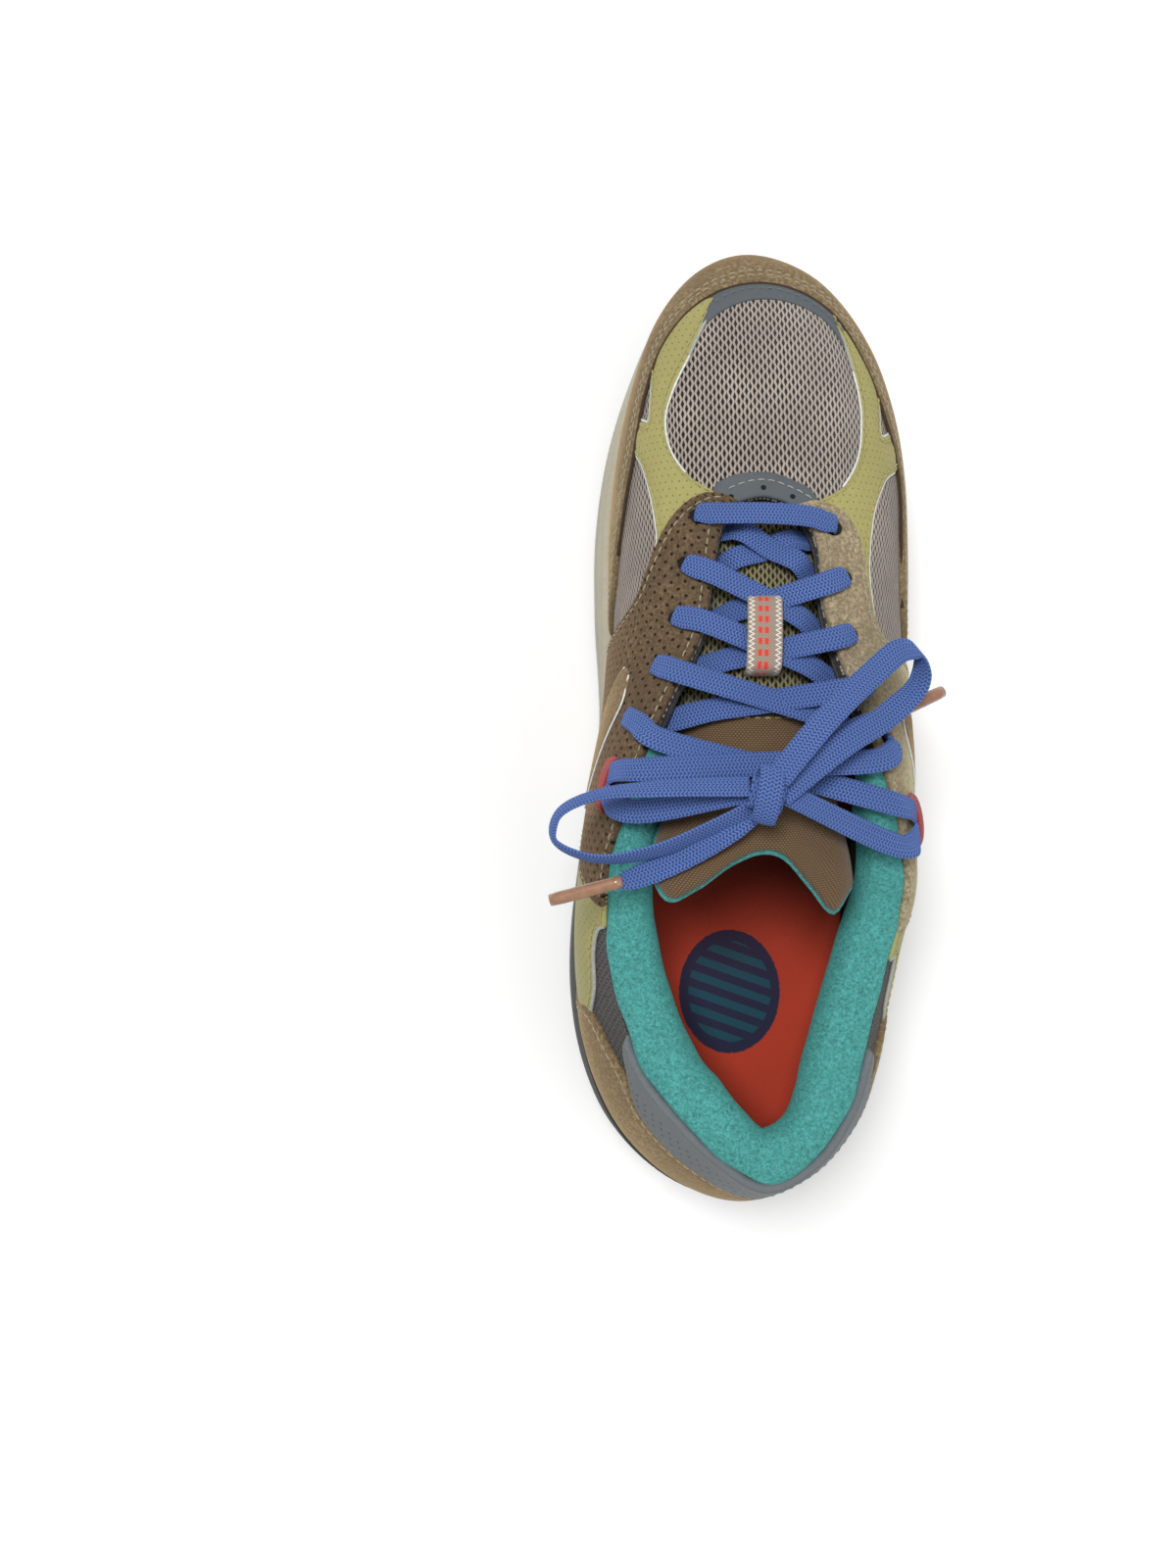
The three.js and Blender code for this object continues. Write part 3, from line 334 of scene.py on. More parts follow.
def woven(name, color, pitch, light=1.45, sheen=0.2, rough=0.85, across=None):
    """A plain or ribbed weave, with yarn at the given pitch in millimetres."""
    m = Shader(name)
    uv, u, v = m.uv()
    dx, dy = m.cells(u, v, pitch, pitch * 0.62)
    yarn = m.flip(m.mul(m.radius(dx, m.mul(dy, 1.5)), 1.7 / pitch))
    fuzz = m.noise(uv, 6.0, 3.0, 0.7)
    cloud = m.noise(m.place(), 30.0, 3.0, 0.6)
    tone = m.mix(m.step(yarn, 0.05, 0.85), shade(color, 0.5), shade(color, light))
    tone = m.mix(m.mul(m.step(cloud, 0.3, 0.75), 0.35), tone, across or shade(color, 0.8))
    bump = m.bump(m.add(yarn, m.mul(fuzz, 0.25)), 0.8, 0.3)
    return m.finish(tone, rough, bump, sheen=sheen, specular=0.2)


def lace_weave(name, color):
    """A flat braid: two rows of slanted yarns that meet in the middle."""
    m = Shader(name)
    uv, u, v = m.uv()
    fold = m.size(m.sub(m.fract(m.div(u, 2.05)), 0.5))
    slant = m.add(v, m.mul(fold, 1.5))
    ridge = m.sine(m.mul(slant, 2 * math.pi / 1.05))
    column = m.math("COSINE", m.mul(u, 4 * math.pi / 2.05))
    yarn = m.mul(m.add(m.sub(ridge, m.mul(column, 0.5)), 1.5), 0.33)
    fuzz = m.noise(uv, 5.0, 3.0, 0.7)
    cloud = m.noise(m.place(), 60.0, 3.0, 0.6)
    tone = m.mix(m.step(yarn, 0.12, 0.8), shade(color, 0.36), shade(color, 1.45))
    tone = m.mix(m.mul(m.step(cloud, 0.3, 0.7), 0.3), tone, shade(color, 0.75))
    bump = m.bump(m.add(yarn, m.mul(fuzz, 0.2)), 0.9, 0.35)
    return m.finish(tone, 0.82, bump, sheen=0.3, sheen_tint=shade(color, 3.0), specular=0.2)


def fleece(name, color):
    m = Shader(name)
    place = m.place()
    pile = m.noise(place, 1600.0, 4.0, 0.75)
    tuft = m.noise(place, 800.0, 4.0, 0.65, 0.4)
    cloud = m.noise(place, 45.0, 3.0, 0.6)
    tone = m.ramp(m.add(m.mul(pile, 0.5), m.mul(tuft, 0.5)),
                  [(0.36, shade(color, 0.55)), (0.5, color), (0.64, shade(color, 1.5))])
    tone = m.mix(m.mul(m.step(cloud, 0.35, 0.7), 0.2), tone, shade(color, 0.8))
    height = m.add(pile, m.mul(tuft, 0.35))
    return m.finish(tone, 0.95, m.bump(height, 0.7, 0.4), sheen=0.35, sheen_tint=shade(color, 2.2), specular=0.1)


def foam_rubber(name, color, rough=0.62, speckle=0.25, scale=700.0):
    m = Shader(name)
    place = m.place()
    grain = m.noise(place, scale, 3.0, 0.6)
    cloud = m.noise(place, 22.0, 4.0, 0.6)
    tone = m.ramp(cloud, [(0.3, shade(color, 0.88)), (0.6, color), (0.8, shade(color, 1.08))])
    tone = m.mix(m.mul(m.step(grain, 0.45, 0.75), speckle), tone, shade(color, 0.6))
    return m.finish(tone, m.add(m.mul(grain, 0.15), rough - 0.08), m.bump(grain, 0.25, 0.15))


def plain(name, color, rough=0.5, scale=400.0, sheen=0.0, coat=0.0, strength=0.2):
    m = Shader(name)
    grain = m.noise(m.place(), scale, 3.0, 0.6)
    tone = m.mix(m.step(grain, 0.3, 0.75), shade(color, 0.82), shade(color, 1.08))
    return m.finish(tone, rough, m.bump(grain, strength, 0.1), sheen=sheen, coat=coat, specular=0.4)


def insole_print(name, color):
    """A knitted cover with a plain two-tone roundel printed at the heel, and painted shade that darkens it towards the
    toe.
    """
    m = Shader(name)
    uv, u, v = m.uv()
    dx, dy = m.cells(u, v, 0.9, 0.6)
    knit = m.flip(m.mul(m.radius(dx, dy), 1.6))
    cloud = m.noise(m.place(), 40.0, 3.0, 0.6)
    tone = m.mix(m.step(knit, 0.1, 0.8), shade(color, 0.7), shade(color, 1.15))
    tone = m.mix(m.mul(m.step(cloud, 0.3, 0.7), 0.35), tone, shade(color, 0.8))
    x, y = m.add(u, 5.5), m.add(v, 86.0)
    far = m.radius(x, m.mul(y, 0.82))
    rough_edge = m.mul(m.noise(uv, 0.8, 3.0), 0.8)
    ring_ = m.flip(m.step(m.add(far, rough_edge), 16.6, 17.0))
    inner = m.flip(m.step(far, 13.2, 13.6))
    bars = m.step(m.sine(m.mul(m.add(y, m.mul(x, 0.35)), 1.15)), -0.1, 0.1)
    tone = m.mix(m.mul(ring_, 0.97), tone, (0.01, 0.022, 0.055))
    tone = m.mix(m.mul(m.mul(inner, bars), 0.7), tone, (0.012, 0.085, 0.115))
    # Painted shade: the cover darkens from the heel towards the toe, where the inside of the shoe lies in shadow under
    # the tongue.
    deep = m.mul(m.step(v, -95.0, -25.0), 0.82)
    tone = m.mix(deep, tone, (0.035, 0.004, 0.003))
    return m.finish(tone, 0.85, m.bump(knit, 0.4, 0.2), sheen=0.3, specular=0.15)


def label_weave(name, color):
    """A woven tab with pale zigzag edges and a plain row of red blocks down its middle."""
    m = Shader(name)
    uv, u, v = m.uv()
    dx, dy = m.cells(u, v, 0.7, 0.45)
    yarn = m.flip(m.mul(m.radius(dx, dy), 1.8))
    tone = m.mix(m.step(yarn, 0.1, 0.85), shade(color, 0.55), shade(color, 1.2))
    wave = m.size(m.sub(m.fract(m.div(v, 1.5)), 0.5))
    far = m.size(u)
    zigzag = m.size(m.sub(m.sub(far, 2.2), m.mul(wave, 2.0)))
    tone = m.mix(m.flip(m.step(zigzag, 0.1, 0.3)), tone, (0.78, 0.75, 0.68))
    block = m.step(m.sine(m.mul(v, 2 * math.pi / 3.4)), -0.25, -0.1)
    middle = m.flip(m.step(m.size(m.add(u, 0.3)), 1.25, 1.4))
    stem = m.step(m.sine(m.mul(u, 2 * math.pi / 1.3)), -0.2, 0.0)
    red = m.mul(m.mul(block, middle), m.math("MAXIMUM", stem, 0.25))
    tone = m.mix(red, tone, (0.66, 0.045, 0.025))
    return m.finish(tone, 0.85, m.bump(yarn, 0.7, 0.25), sheen=0.2, specular=0.2)


MATERIALS = {
    "suede": suede("brown_suede", (0.235, 0.170, 0.095)),
    "suede_light": suede("light_brown_suede", (0.345, 0.275, 0.175)),
    "perforated": suede("perforated_suede", (0.145, 0.098, 0.058), holes=True),
    "olive": nubuck("olive_nubuck", (0.360, 0.330, 0.120)),
    "grey": nubuck("grey_nubuck", (0.098, 0.112, 0.122), dots=(60.0, 60.0, 0.01)),
    "grey_dots": nubuck("grey_perforated", (0.132, 0.148, 0.158), dots=(4.2, 3.2, 0.45), dark=0.15, band=(44.8, 54.4)),
    "vamp": open_mesh("taupe_mesh", (0.680, 0.570, 0.480), (0.005, 0.004, 0.004), pitch=(2.4, 1.67)),
    "dark_mesh": open_mesh("dark_mesh", (0.058, 0.047, 0.037), (0.003, 0.003, 0.002), pitch=(2.2, 1.5)),
    "tongue_mesh": open_mesh("tongue_mesh", (0.420, 0.370, 0.160), (0.010, 0.009, 0.006), pitch=(2.4, 1.5)),
    "tongue_weave": woven("tongue_weave", (0.128, 0.078, 0.040), 1.05, light=1.8),
    "fleece": fleece("teal_fleece", (0.068, 0.288, 0.268)),
    "insole": insole_print("insole_cover", (0.480, 0.050, 0.024)),
    "lace": lace_weave("blue_lace", (0.076, 0.132, 0.350)),
    "aglet": plain("copper_film", (0.330, 0.170, 0.100), 0.28, coat=0.6),
    "webbing": woven("red_webbing", (0.420, 0.030, 0.018), 0.8),
    "piping": plain("silver_piping", (0.700, 0.710, 0.700), 0.35, 900.0),
    "silver": plain("silver_edge", (0.360, 0.370, 0.350), 0.4, 900.0),
    # Dark edge colour: partly the darker cut edge of thick suede, partly painted shade along the rand's edge.
    "dark_edge_and_shade": plain("suede_edge_and_painted_shade", (0.045, 0.030, 0.017), 0.95, 900.0),
    # Near-black painted shade for the inside of punched holes.
    "painted_hole_shade": plain("painted_hole_shade", (0.006, 0.006, 0.007), 0.9),
    "thread_light": woven("pale_thread", (0.560, 0.500, 0.340), 0.35),
    "thread_olive": woven("olive_thread", (0.640, 0.580, 0.230), 0.35),
    "thread_pale": woven("grey_white_thread", (0.560, 0.560, 0.540), 0.35),
    "thread_grey": woven("grey_thread", (0.200, 0.230, 0.260), 0.35),
    "label": label_weave("label_weave", (0.300, 0.235, 0.185)),
    "stone": foam_rubber("stone_foam", (0.450, 0.420, 0.320)),
    "black_foam": foam_rubber("black_foam", (0.030, 0.030, 0.028)),
    "green_foam": foam_rubber("grey_green_foam", (0.200, 0.215, 0.170)),
    "rubber": foam_rubber("tread_rubber", (0.050, 0.048, 0.044), 0.55, 0.2, 420.0),
    "shank": plain("shank_plastic", (0.035, 0.035, 0.037), 0.3, 250.0, coat=0.3),
    "lining": woven("dark_lining", (0.040, 0.037, 0.032), 0.9),
    "board": woven("board_cloth", (0.560, 0.520, 0.440), 1.1),
}


# ---------------------------------------------------------------- making pieces
def new_piece(name, points, faces, material, uvs=None, body="shoe", smooth=True):
    """A mesh piece from points in millimetres. uvs has one pair per point, in millimetres too; without it, x and y."""
    points = np.asarray(points, float)
    mesh = bpy.data.meshes.new(name)
    mesh.from_pydata((points * MM).tolist(), [], [list(map(int, f)) for f in faces])
    mesh.validate()
    layer = mesh.uv_layers.new(name="UVMap")
    index = np.empty(len(mesh.loops), int)
    mesh.loops.foreach_get("vertex_index", index)
    uvs = points[:, :2] if uvs is None else uvs
    layer.data.foreach_set("uv", np.asarray(uvs, np.float32)[index].ravel())
    mesh.polygons.foreach_set("use_smooth", [smooth] * len(mesh.polygons))
    mesh.materials.append(MATERIALS[material])
    piece = bpy.data.objects.new(name, mesh)
    bpy.context.collection.objects.link(piece)
    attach(piece, body)
    return piece


@contextmanager
def edited(piece):
    """The piece's mesh as a bmesh, written back at the end."""
    bm = bmesh.new()
    bm.from_mesh(piece.data)
    yield bm
    bm.to_mesh(piece.data)
    bm.free()


def fix_normals(piece):
    with edited(piece) as bm:
        bmesh.ops.recalc_face_normals(bm, faces=bm.faces)


def join(piece, other):
    """Adds another piece's mesh to this one."""
    with edited(piece) as bm:
        bm.from_mesh(other.data)
    bpy.data.objects.remove(other)


def skin(rows, sides, start=0):
    """The quads between rings of points, each ring closed."""
    first = [(start + r * sides, k) for r in range(rows - 1) for k in range(sides)]
    return [(a + k, a + (k + 1) % sides, a + sides + (k + 1) % sides, a + sides + k) for a, k in first]


def rod(rows, sides, start=0):
    """The quads between rings of points, and a face at each end."""
    last = start + (rows - 1) * sides
    return skin(rows, sides, start) + [
        tuple(reversed(range(start, start + sides))), tuple(range(last, last + sides)),
    ]


def slab(rows, wide):
    """The quads of two grids of points, one under the other, closed round their edge."""
    count = rows * wide
    faces = []
    for r in range(rows - 1):
        for k in range(wide - 1):
            a = r * wide + k
            faces.append((a, a + 1, a + wide + 1, a + wide))
            faces.append((a + count, a + wide + count, a + wide + 1 + count, a + 1 + count))
    loop = list(range(wide)) + [r * wide + wide - 1 for r in range(1, rows)]
    loop += [(rows - 1) * wide + k for k in range(wide - 2, -1, -1)] + [r * wide for r in range(rows - 2, 0, -1)]
    return faces + [(b, a, a + count, b + count) for a, b in zip(loop, loop[1:] + loop[:1])]


def smooth_line(points, per_step, closed=False):
    """A centripetal Catmull-Rom curve. Columns past the third are carried along with the point."""
    p = np.array(points, float)
    n = len(p)
    if closed:
        p = np.concatenate([p[-1:], p, p[:2]])
    else:
        p = np.concatenate([[2 * p[0] - p[1]], p, [2 * p[-1] - p[-2]]])
    out = []
    for k in range(n if closed else n - 1):
        q = p[k : k + 4]
        gaps = np.maximum(np.linalg.norm(np.diff(q[:, :3], axis=0), axis=1), 1e-6) ** 0.5
        t = np.concatenate([[0], np.cumsum(gaps)])
        x = np.linspace(t[1], t[2], per_step, endpoint=False)[:, None]
        a = [((t[i + 1] - x) * q[i] + (x - t[i]) * q[i + 1]) / (t[i + 1] - t[i]) for i in range(3)]
        b = [((t[i + 2] - x) * a[i] + (x - t[i]) * a[i + 1]) / (t[i + 2] - t[i]) for i in range(2)]
        out.append(((t[2] - x) * b[0] + (x - t[1]) * b[1]) / (t[2] - t[1]))
    if not closed:
        out.append(p[-2][None])
    return np.concatenate(out)


def far_along(line):
    """The distance along a polyline of each of its points."""
    return np.concatenate([[0], np.cumsum(np.linalg.norm(np.diff(line, axis=0), axis=1))])


def resampled(points, pitch, closed=False):
    """Points evenly spaced along a polyline."""
    p = np.array(points, float)
    if closed:
        p = np.concatenate([p, p[:1]])
    far = far_along(p)
    count = max(2, int(round(far[-1] / pitch)))
    at = np.linspace(0, far[-1], count, endpoint=not closed)
    return np.stack([np.interp(at, far, p[:, k]) for k in range(p.shape[1])], 1)


# Pattern space: stations and heights scaled to about a millimetre.
FLAT = np.array([20.5, 64.0])
OUTLINE_PITCH = 1.3
ROUNDING = (0.3, 0.9, 1.6)  # rows of points inside a panel's edge
GROOVE_DEEP, GROOVE_WIDE = 0.22, 0.4


def outline_of(points):
    """A panel's outline in pattern space, kept between the feather line and the opening."""
    line = smooth_line(np.array(points, float) * FLAT, 10, True)
    line[:, 1] = np.clip(line[:, 1], 0, FLAT[1])
    return resampled(line, OUTLINE_PITCH, closed=True)


def inside(points, outline):
    """Which points lie inside a closed outline."""
    x, y = points[:, 0][:, None], points[:, 1][:, None]
    a, b = outline, np.roll(outline, -1, 0)
    crosses = (a[:, 1] > y) != (b[:, 1] > y)
    with np.errstate(divide="ignore", invalid="ignore"):
        at = a[:, 0] + (y - a[:, 1]) * (b[:, 0] - a[:, 0]) / (b[:, 1] - a[:, 1])
    return (np.sum(crosses & (x < at), axis=1) % 2) == 1


def distance(points, lines):
    """Distance from each point to the nearest point of the closed lines."""
    dense = np.concatenate([resampled(line, 0.25, closed=True) for line in lines])
    out = np.empty(len(points))
    for k in range(0, len(points), 400):
        gap = points[k : k + 400, None] - dense[None]
        out[k : k + 400] = np.sqrt((gap**2).sum(-1)).min(1)
    return out


def inwards(line, far):
    """A closed line moved towards its inside, and which of its points are really that far from it."""
    tangent = np.roll(line, -1, 0) - np.roll(line, 1, 0)
    side = unit(np.stack([-tangent[:, 1], tangent[:, 0]], 1))
    area = np.sum(line[:, 0] * np.roll(line[:, 1], -1) - np.roll(line[:, 0], -1) * line[:, 1])
    moved = line + side * far * (1 if area > 0 else -1)
    return moved, distance(moved, [line]) > far * 0.93


def height_along(s):
    """Arc length up the surface at stations s, as a table over t."""
    t = np.linspace(0, 1, 25)
    p = surface(np.asarray(s)[:, None], t[None])
    return t, np.concatenate([np.zeros((len(s), 1)), np.cumsum(np.linalg.norm(np.diff(p, axis=1), axis=2), axis=1)], 1)


def fabric_uv(flat, kind):
    """UVs in millimetres: from above and down the sides, from the side, round the shoe, or pattern space."""
    s, t = flat[:, 0] / FLAT[0], flat[:, 1] / FLAT[1]
    p = surface(s, t)
    if kind == "pattern":
        return flat.copy()
    if kind == "plan":
        fall = np.clip(76 - 0.31 * (p[:, 1] - 66) - p[:, 2], 0, None)
        side = np.sign(p[:, 0]) * np.clip((np.abs(p[:, 0]) - 12) / 20, 0, 1)
        return np.stack([p[:, 0] + side * fall, p[:, 1]], 1)
    table_t, table = height_along(s)
    v = np.array([np.interp(t[k], table_t, table[k]) for k in range(len(s))])
    if kind == "side":
        return np.stack([p[:, 1], v], 1)
    return np.stack([flat[:, 0], v], 1)


def panel(name, outline, inner, outer, material, holes=(), uv="side", spacing=2.6, edge=0.9, groove=(), puff=0.0):
    """A closed panel on the upper: flat below, with a rounded edge, sewn grooves and holes."""
    border = [outline, *holes]
    points = [p for line in border for p in line]
    for line in border:
        for far in (*ROUNDING, *groove):
            moved, good = inwards(line, far if line is outline else -far)
            if line is not outline:
                good = distance(moved, [outline]) > 0.5
            points.extend(moved[good & inside(moved, outline)])
    low, high = outline.min(0), outline.max(0)
    gx, gy = np.meshgrid(np.arange(low[0], high[0], spacing), np.arange(low[1], high[1], spacing))
    gx[1::2] += spacing / 2
    grid = np.stack([gx.ravel(), gy.ravel()], 1)
    grid = grid[inside(grid, outline)]
    grid = grid[distance(grid, border) > max(2.2, *(g + 0.8 for g in groove), 0)]
    points = np.concatenate([np.array(points), grid])
    edges, start = [], 0
    for line in border:
        edges += [(start + k, start + (k + 1) % len(line)) for k in range(len(line))]
        start += len(line)
    found = delaunay_2d_cdt([Vector(p) for p in points], edges, [], 0, 1e-4)
    flat = np.array([tuple(p) for p in found[0]])
    faces = np.array([f for f in found[2] if len(f) == 3])
    middle = flat[faces].mean(1)
    keep = inside(middle, outline)
    for hole in holes:
        keep &= ~inside(middle, hole)
    faces = faces[keep]
    away = distance(flat, border)
    rise = 0.35 + 0.65 * np.sqrt(np.clip(1 - (1 - np.clip(away / edge, 0, 1)) ** 2, 0, 1))
    top = inner + (outer - inner) * rise + puff * np.clip((away - 1) / 7, 0, 1)
    for far in groove:
        top -= GROOVE_DEEP * np.exp(-(((away - far) / GROOVE_WIDE) ** 2))
    s, t = flat[:, 0] / FLAT[0], np.clip(flat[:, 1] / FLAT[1], 0, 1)
    above, below = lifted(s, t, top), lifted(s, t, np.full(len(s), inner))
    turn = np.cross(flat[faces[:, 1]] - flat[faces[:, 0]], flat[faces[:, 2]] - flat[faces[:, 0]])
    faces = np.where(turn[:, None] > 0, faces, faces[:, ::-1])
    count = len(flat)
    sides = np.concatenate([faces[:, [0, 1]], faces[:, [1, 2]], faces[:, [2, 0]]]).tolist()
    sides = dict.fromkeys(map(tuple, sides))
    wall = [(b, a, a + count, b + count) for a, b in sides if (b, a) not in sides]
    every = [tuple(f) for f in faces] + [tuple(f[::-1] + count) for f in faces] + wall
    uvs = fabric_uv(flat, uv)
    return new_piece(name, np.concatenate([above, below]), every, material, np.concatenate([uvs, uvs]))


def hole(place, radius):
    """The outline of a round hole at a station and height, in pattern space."""
    s, t = place
    h = 1e-3
    per_s = np.linalg.norm(surface(s + h, t) - surface(s - h, t)) / (2 * h)
    per_t = np.linalg.norm(surface(s, t + h) - surface(s, t - h)) / (2 * h)
    turn = np.linspace(0, 2 * math.pi, 14, endpoint=False)
    return np.stack([s + radius / per_s * np.cos(turn), t + radius / per_t * np.sin(turn)], 1) * FLAT


def capsules(ends, radius, sides=6):
    """Points and faces of short thread stitches from (start, end, normal) triples."""
    points, faces = [], []
    for a, b, n in ends:
        axis = b - a
        far = np.linalg.norm(axis)
        axis = axis / far
        n = unit(n - axis * n.dot(axis))
        w = np.cross(axis, n)
        start = len(points)
        for at, r, dip in ((0, 0.25, -0.25), (0.12, 0.8, 0.0), (0.5, 1.0, 0.12), (0.88, 0.8, 0.0), (1, 0.25, -0.25)):
            for k in range(sides):
                turn = 2 * math.pi * k / sides
                around = n * math.sin(turn) + w * math.cos(turn)
                points.append(a + axis * far * at + around * radius * r + n * dip)
        faces += rod(5, sides, start)
    return points, faces


def sewn(line, depth, pitch=3.0, stitch=2.2, hidden=()):
    """Stitches along a pattern line, as (start, end, normal), left out where another panel covers them."""
    line = np.asarray(line, float)
    s, t = line[:, 0] / FLAT[0], np.clip(line[:, 1] / FLAT[1], 0.0, 1.0)
    p = lifted(s, t, np.full(len(s), depth))
    far = far_along(p)
    ends = []
    for k in range(int(far[-1] / pitch)):
        at = np.array([k * pitch, k * pitch + stitch])
        flat = np.stack([np.interp(at, far, line[:, c]) for c in (0, 1)], 1)
        if any(inside(flat, cover).any() for cover in hidden):
            continue
        if (flat[:, 1] < 1.0).any() or (flat[:, 1] > FLAT[1] - 0.6).any():
            continue
        a, b = lifted(flat[:, 0] / FLAT[0], flat[:, 1] / FLAT[1], np.full(2, depth))
        ends.append((a, b, normal(flat[0, 0] / FLAT[0], flat[0, 1] / FLAT[1])))
    return ends


def edge_stitches(outline, inset_by, depth, hidden=(), part=None, **how):
    """Stitches that follow a panel's edge. part keeps only those whose start passes a test on (station, t)."""
    moved, good = inwards(outline, inset_by)
    if part is not None:
        good &= np.array([part(p[0] / FLAT[0], p[1] / FLAT[1]) for p in moved])
    runs, run = [], []
    for k in range(2 * len(moved)):
        if good[k % len(moved)] and len(run) < len(moved):
            run.append(moved[k % len(moved)])
        elif run:
            if k > len(moved) or k - len(run) > 0:
                runs.append((k - len(run), run))
            run = []
    if run and not runs:
        runs.append((0, run))
    ends, seen = [], set()
    for first, run in runs:
        if first % len(moved) in seen or len(run) < 4:
            continue
        seen.add(first % len(moved))
        ends += sewn(run, depth, hidden=hidden, **how)
    return ends


def stitches(name, ends, material, radius=0.24, body="shoe"):
    if ends:
        new_piece(name, *capsules(ends, radius), material, body=body)


def tube(name, centre, radius, material, sides=8, squash=1.0, ups=(0, 0, 1.0)):
    """A closed tube along points in millimetres. squash flattens it along its up direction."""
    c = np.array(centre, float)
    tangent = unit(np.gradient(c, axis=0))
    w = unit(np.cross(tangent, np.broadcast_to(ups, c.shape)))
    n = np.cross(w, tangent)
    far = far_along(c)
    radius = np.broadcast_to(radius, len(c))
    turn = np.linspace(0, 2 * math.pi, sides, endpoint=False)
    points = (
        c[:, None]
        + w[:, None] * np.cos(turn)[None, :, None] * radius[:, None, None]
        + n[:, None] * np.sin(turn)[None, :, None] * radius[:, None, None] * squash
    )
    uvs = np.stack(np.broadcast_arrays(turn[None] * radius[:, None], far[:, None]), -1)
    return new_piece(name, points.reshape(-1, 3), rod(len(c), sides), material, uvs.reshape(-1, 2))


def piping(name, points, depth, material="piping", radius=0.42):
    """A thin cord or film edge laid along pattern points."""
    line = resampled(smooth_line(np.array(points, float) * FLAT, 8), 1.2)
    s, t = line[:, 0] / FLAT[0], line[:, 1] / FLAT[1]
    tube(name, lifted(s, t, np.full(len(s), depth)), radius, material, squash=0.7, ups=normal(s, t))


def pin(name, place, radius, depth, material="painted_hole_shade"):
    """A small punched hole: a shallow near-black dish on the surface, painted shade for the inside of the hole."""
    n = normal(*place)
    at = surface(*place) + n * depth
    side = unit(np.cross(n, [0, 1.0, 0]))
    up = np.cross(n, side)
    sides, dish = 14, ((1.0, -0.3), (1.0, 0.04), (0.82, 0.08), (0.6, -0.05))
    points = []
    for size, high in dish:
        for turn in np.linspace(0, 2 * math.pi, sides, endpoint=False):
            points.append(at + (side * math.cos(turn) + up * math.sin(turn)) * radius * size + n * high)
    new_piece(name, points, rod(len(dish), sides), material)


# ---------------------------------------------------------------- the camera and the stage
CAMERA_AT = (-51.5, -18.5, 442.0)
FLOOR_LOW = -0.0002  # the floor lies a hair under the tread, so the two never share a plane


def aim_camera():
    data = bpy.data.cameras.new("camera")
    data.lens = 28.35
    data.sensor_width = 36.0
    data.sensor_fit = "AUTO"
    data.clip_start = 0.01
    camera = bpy.data.objects.new("camera", data)
    bpy.context.collection.objects.link(camera)
    camera.location = Vector(CAMERA_AT) * MM
    camera.rotation_euler = (0, 0, 0)
    bpy.context.scene.camera = camera


def light(name, kind, place, target, energy, size, color=(1, 1, 1)):
    data = bpy.data.lights.new(name, kind)
    data.energy = energy
    data.color = color
    if kind == "AREA":
        data.shape = "DISK"
        data.size = size
    lamp = bpy.data.objects.new(name, data)
    bpy.context.collection.objects.link(lamp)
    lamp.location = place
    lamp.rotation_euler = (Vector(target) - Vector(place)).to_track_quat("-Z", "Y").to_euler()


def studio():
    world = bpy.data.worlds.new("studio")
    bpy.context.scene.world = world
    world.use_nodes = True
    world.node_tree.nodes["Background"].inputs[0].default_value = (1.0, 1.0, 1.0, 1)
    world.node_tree.nodes["Background"].inputs[1].default_value = 0.45
    light("key", "AREA", (-0.25, 0.3, 1.25), (0, 0, 0.05), 11.8, 0.45)
    light("fill", "AREA", (0.6, -0.35, 1.0), (0, 0, 0.05), 2.6, 0.9)
    bpy.context.scene.view_settings.view_transform = "Standard"
    m = Shader("pale_floor")
    cloud = m.noise(m.place(), 3.0, 2.0, 0.5)
    m.finish(m.mix(cloud, (0.93, 0.93, 0.93), (0.96, 0.96, 0.96)), 0.7, specular=0.2)
    mesh = bpy.data.meshes.new("floor")
    corners = [(x, y, FLOOR_LOW) for x, y in ((-6, -6), (6, -6), (6, 6), (-6, 6))]
    mesh.from_pydata(corners, [], [(0, 1, 2, 3)])
    mesh.materials.append(m.material)
    floor = bpy.data.objects.new("floor", mesh)
    bpy.context.collection.objects.link(floor)


aim_camera()
studio()

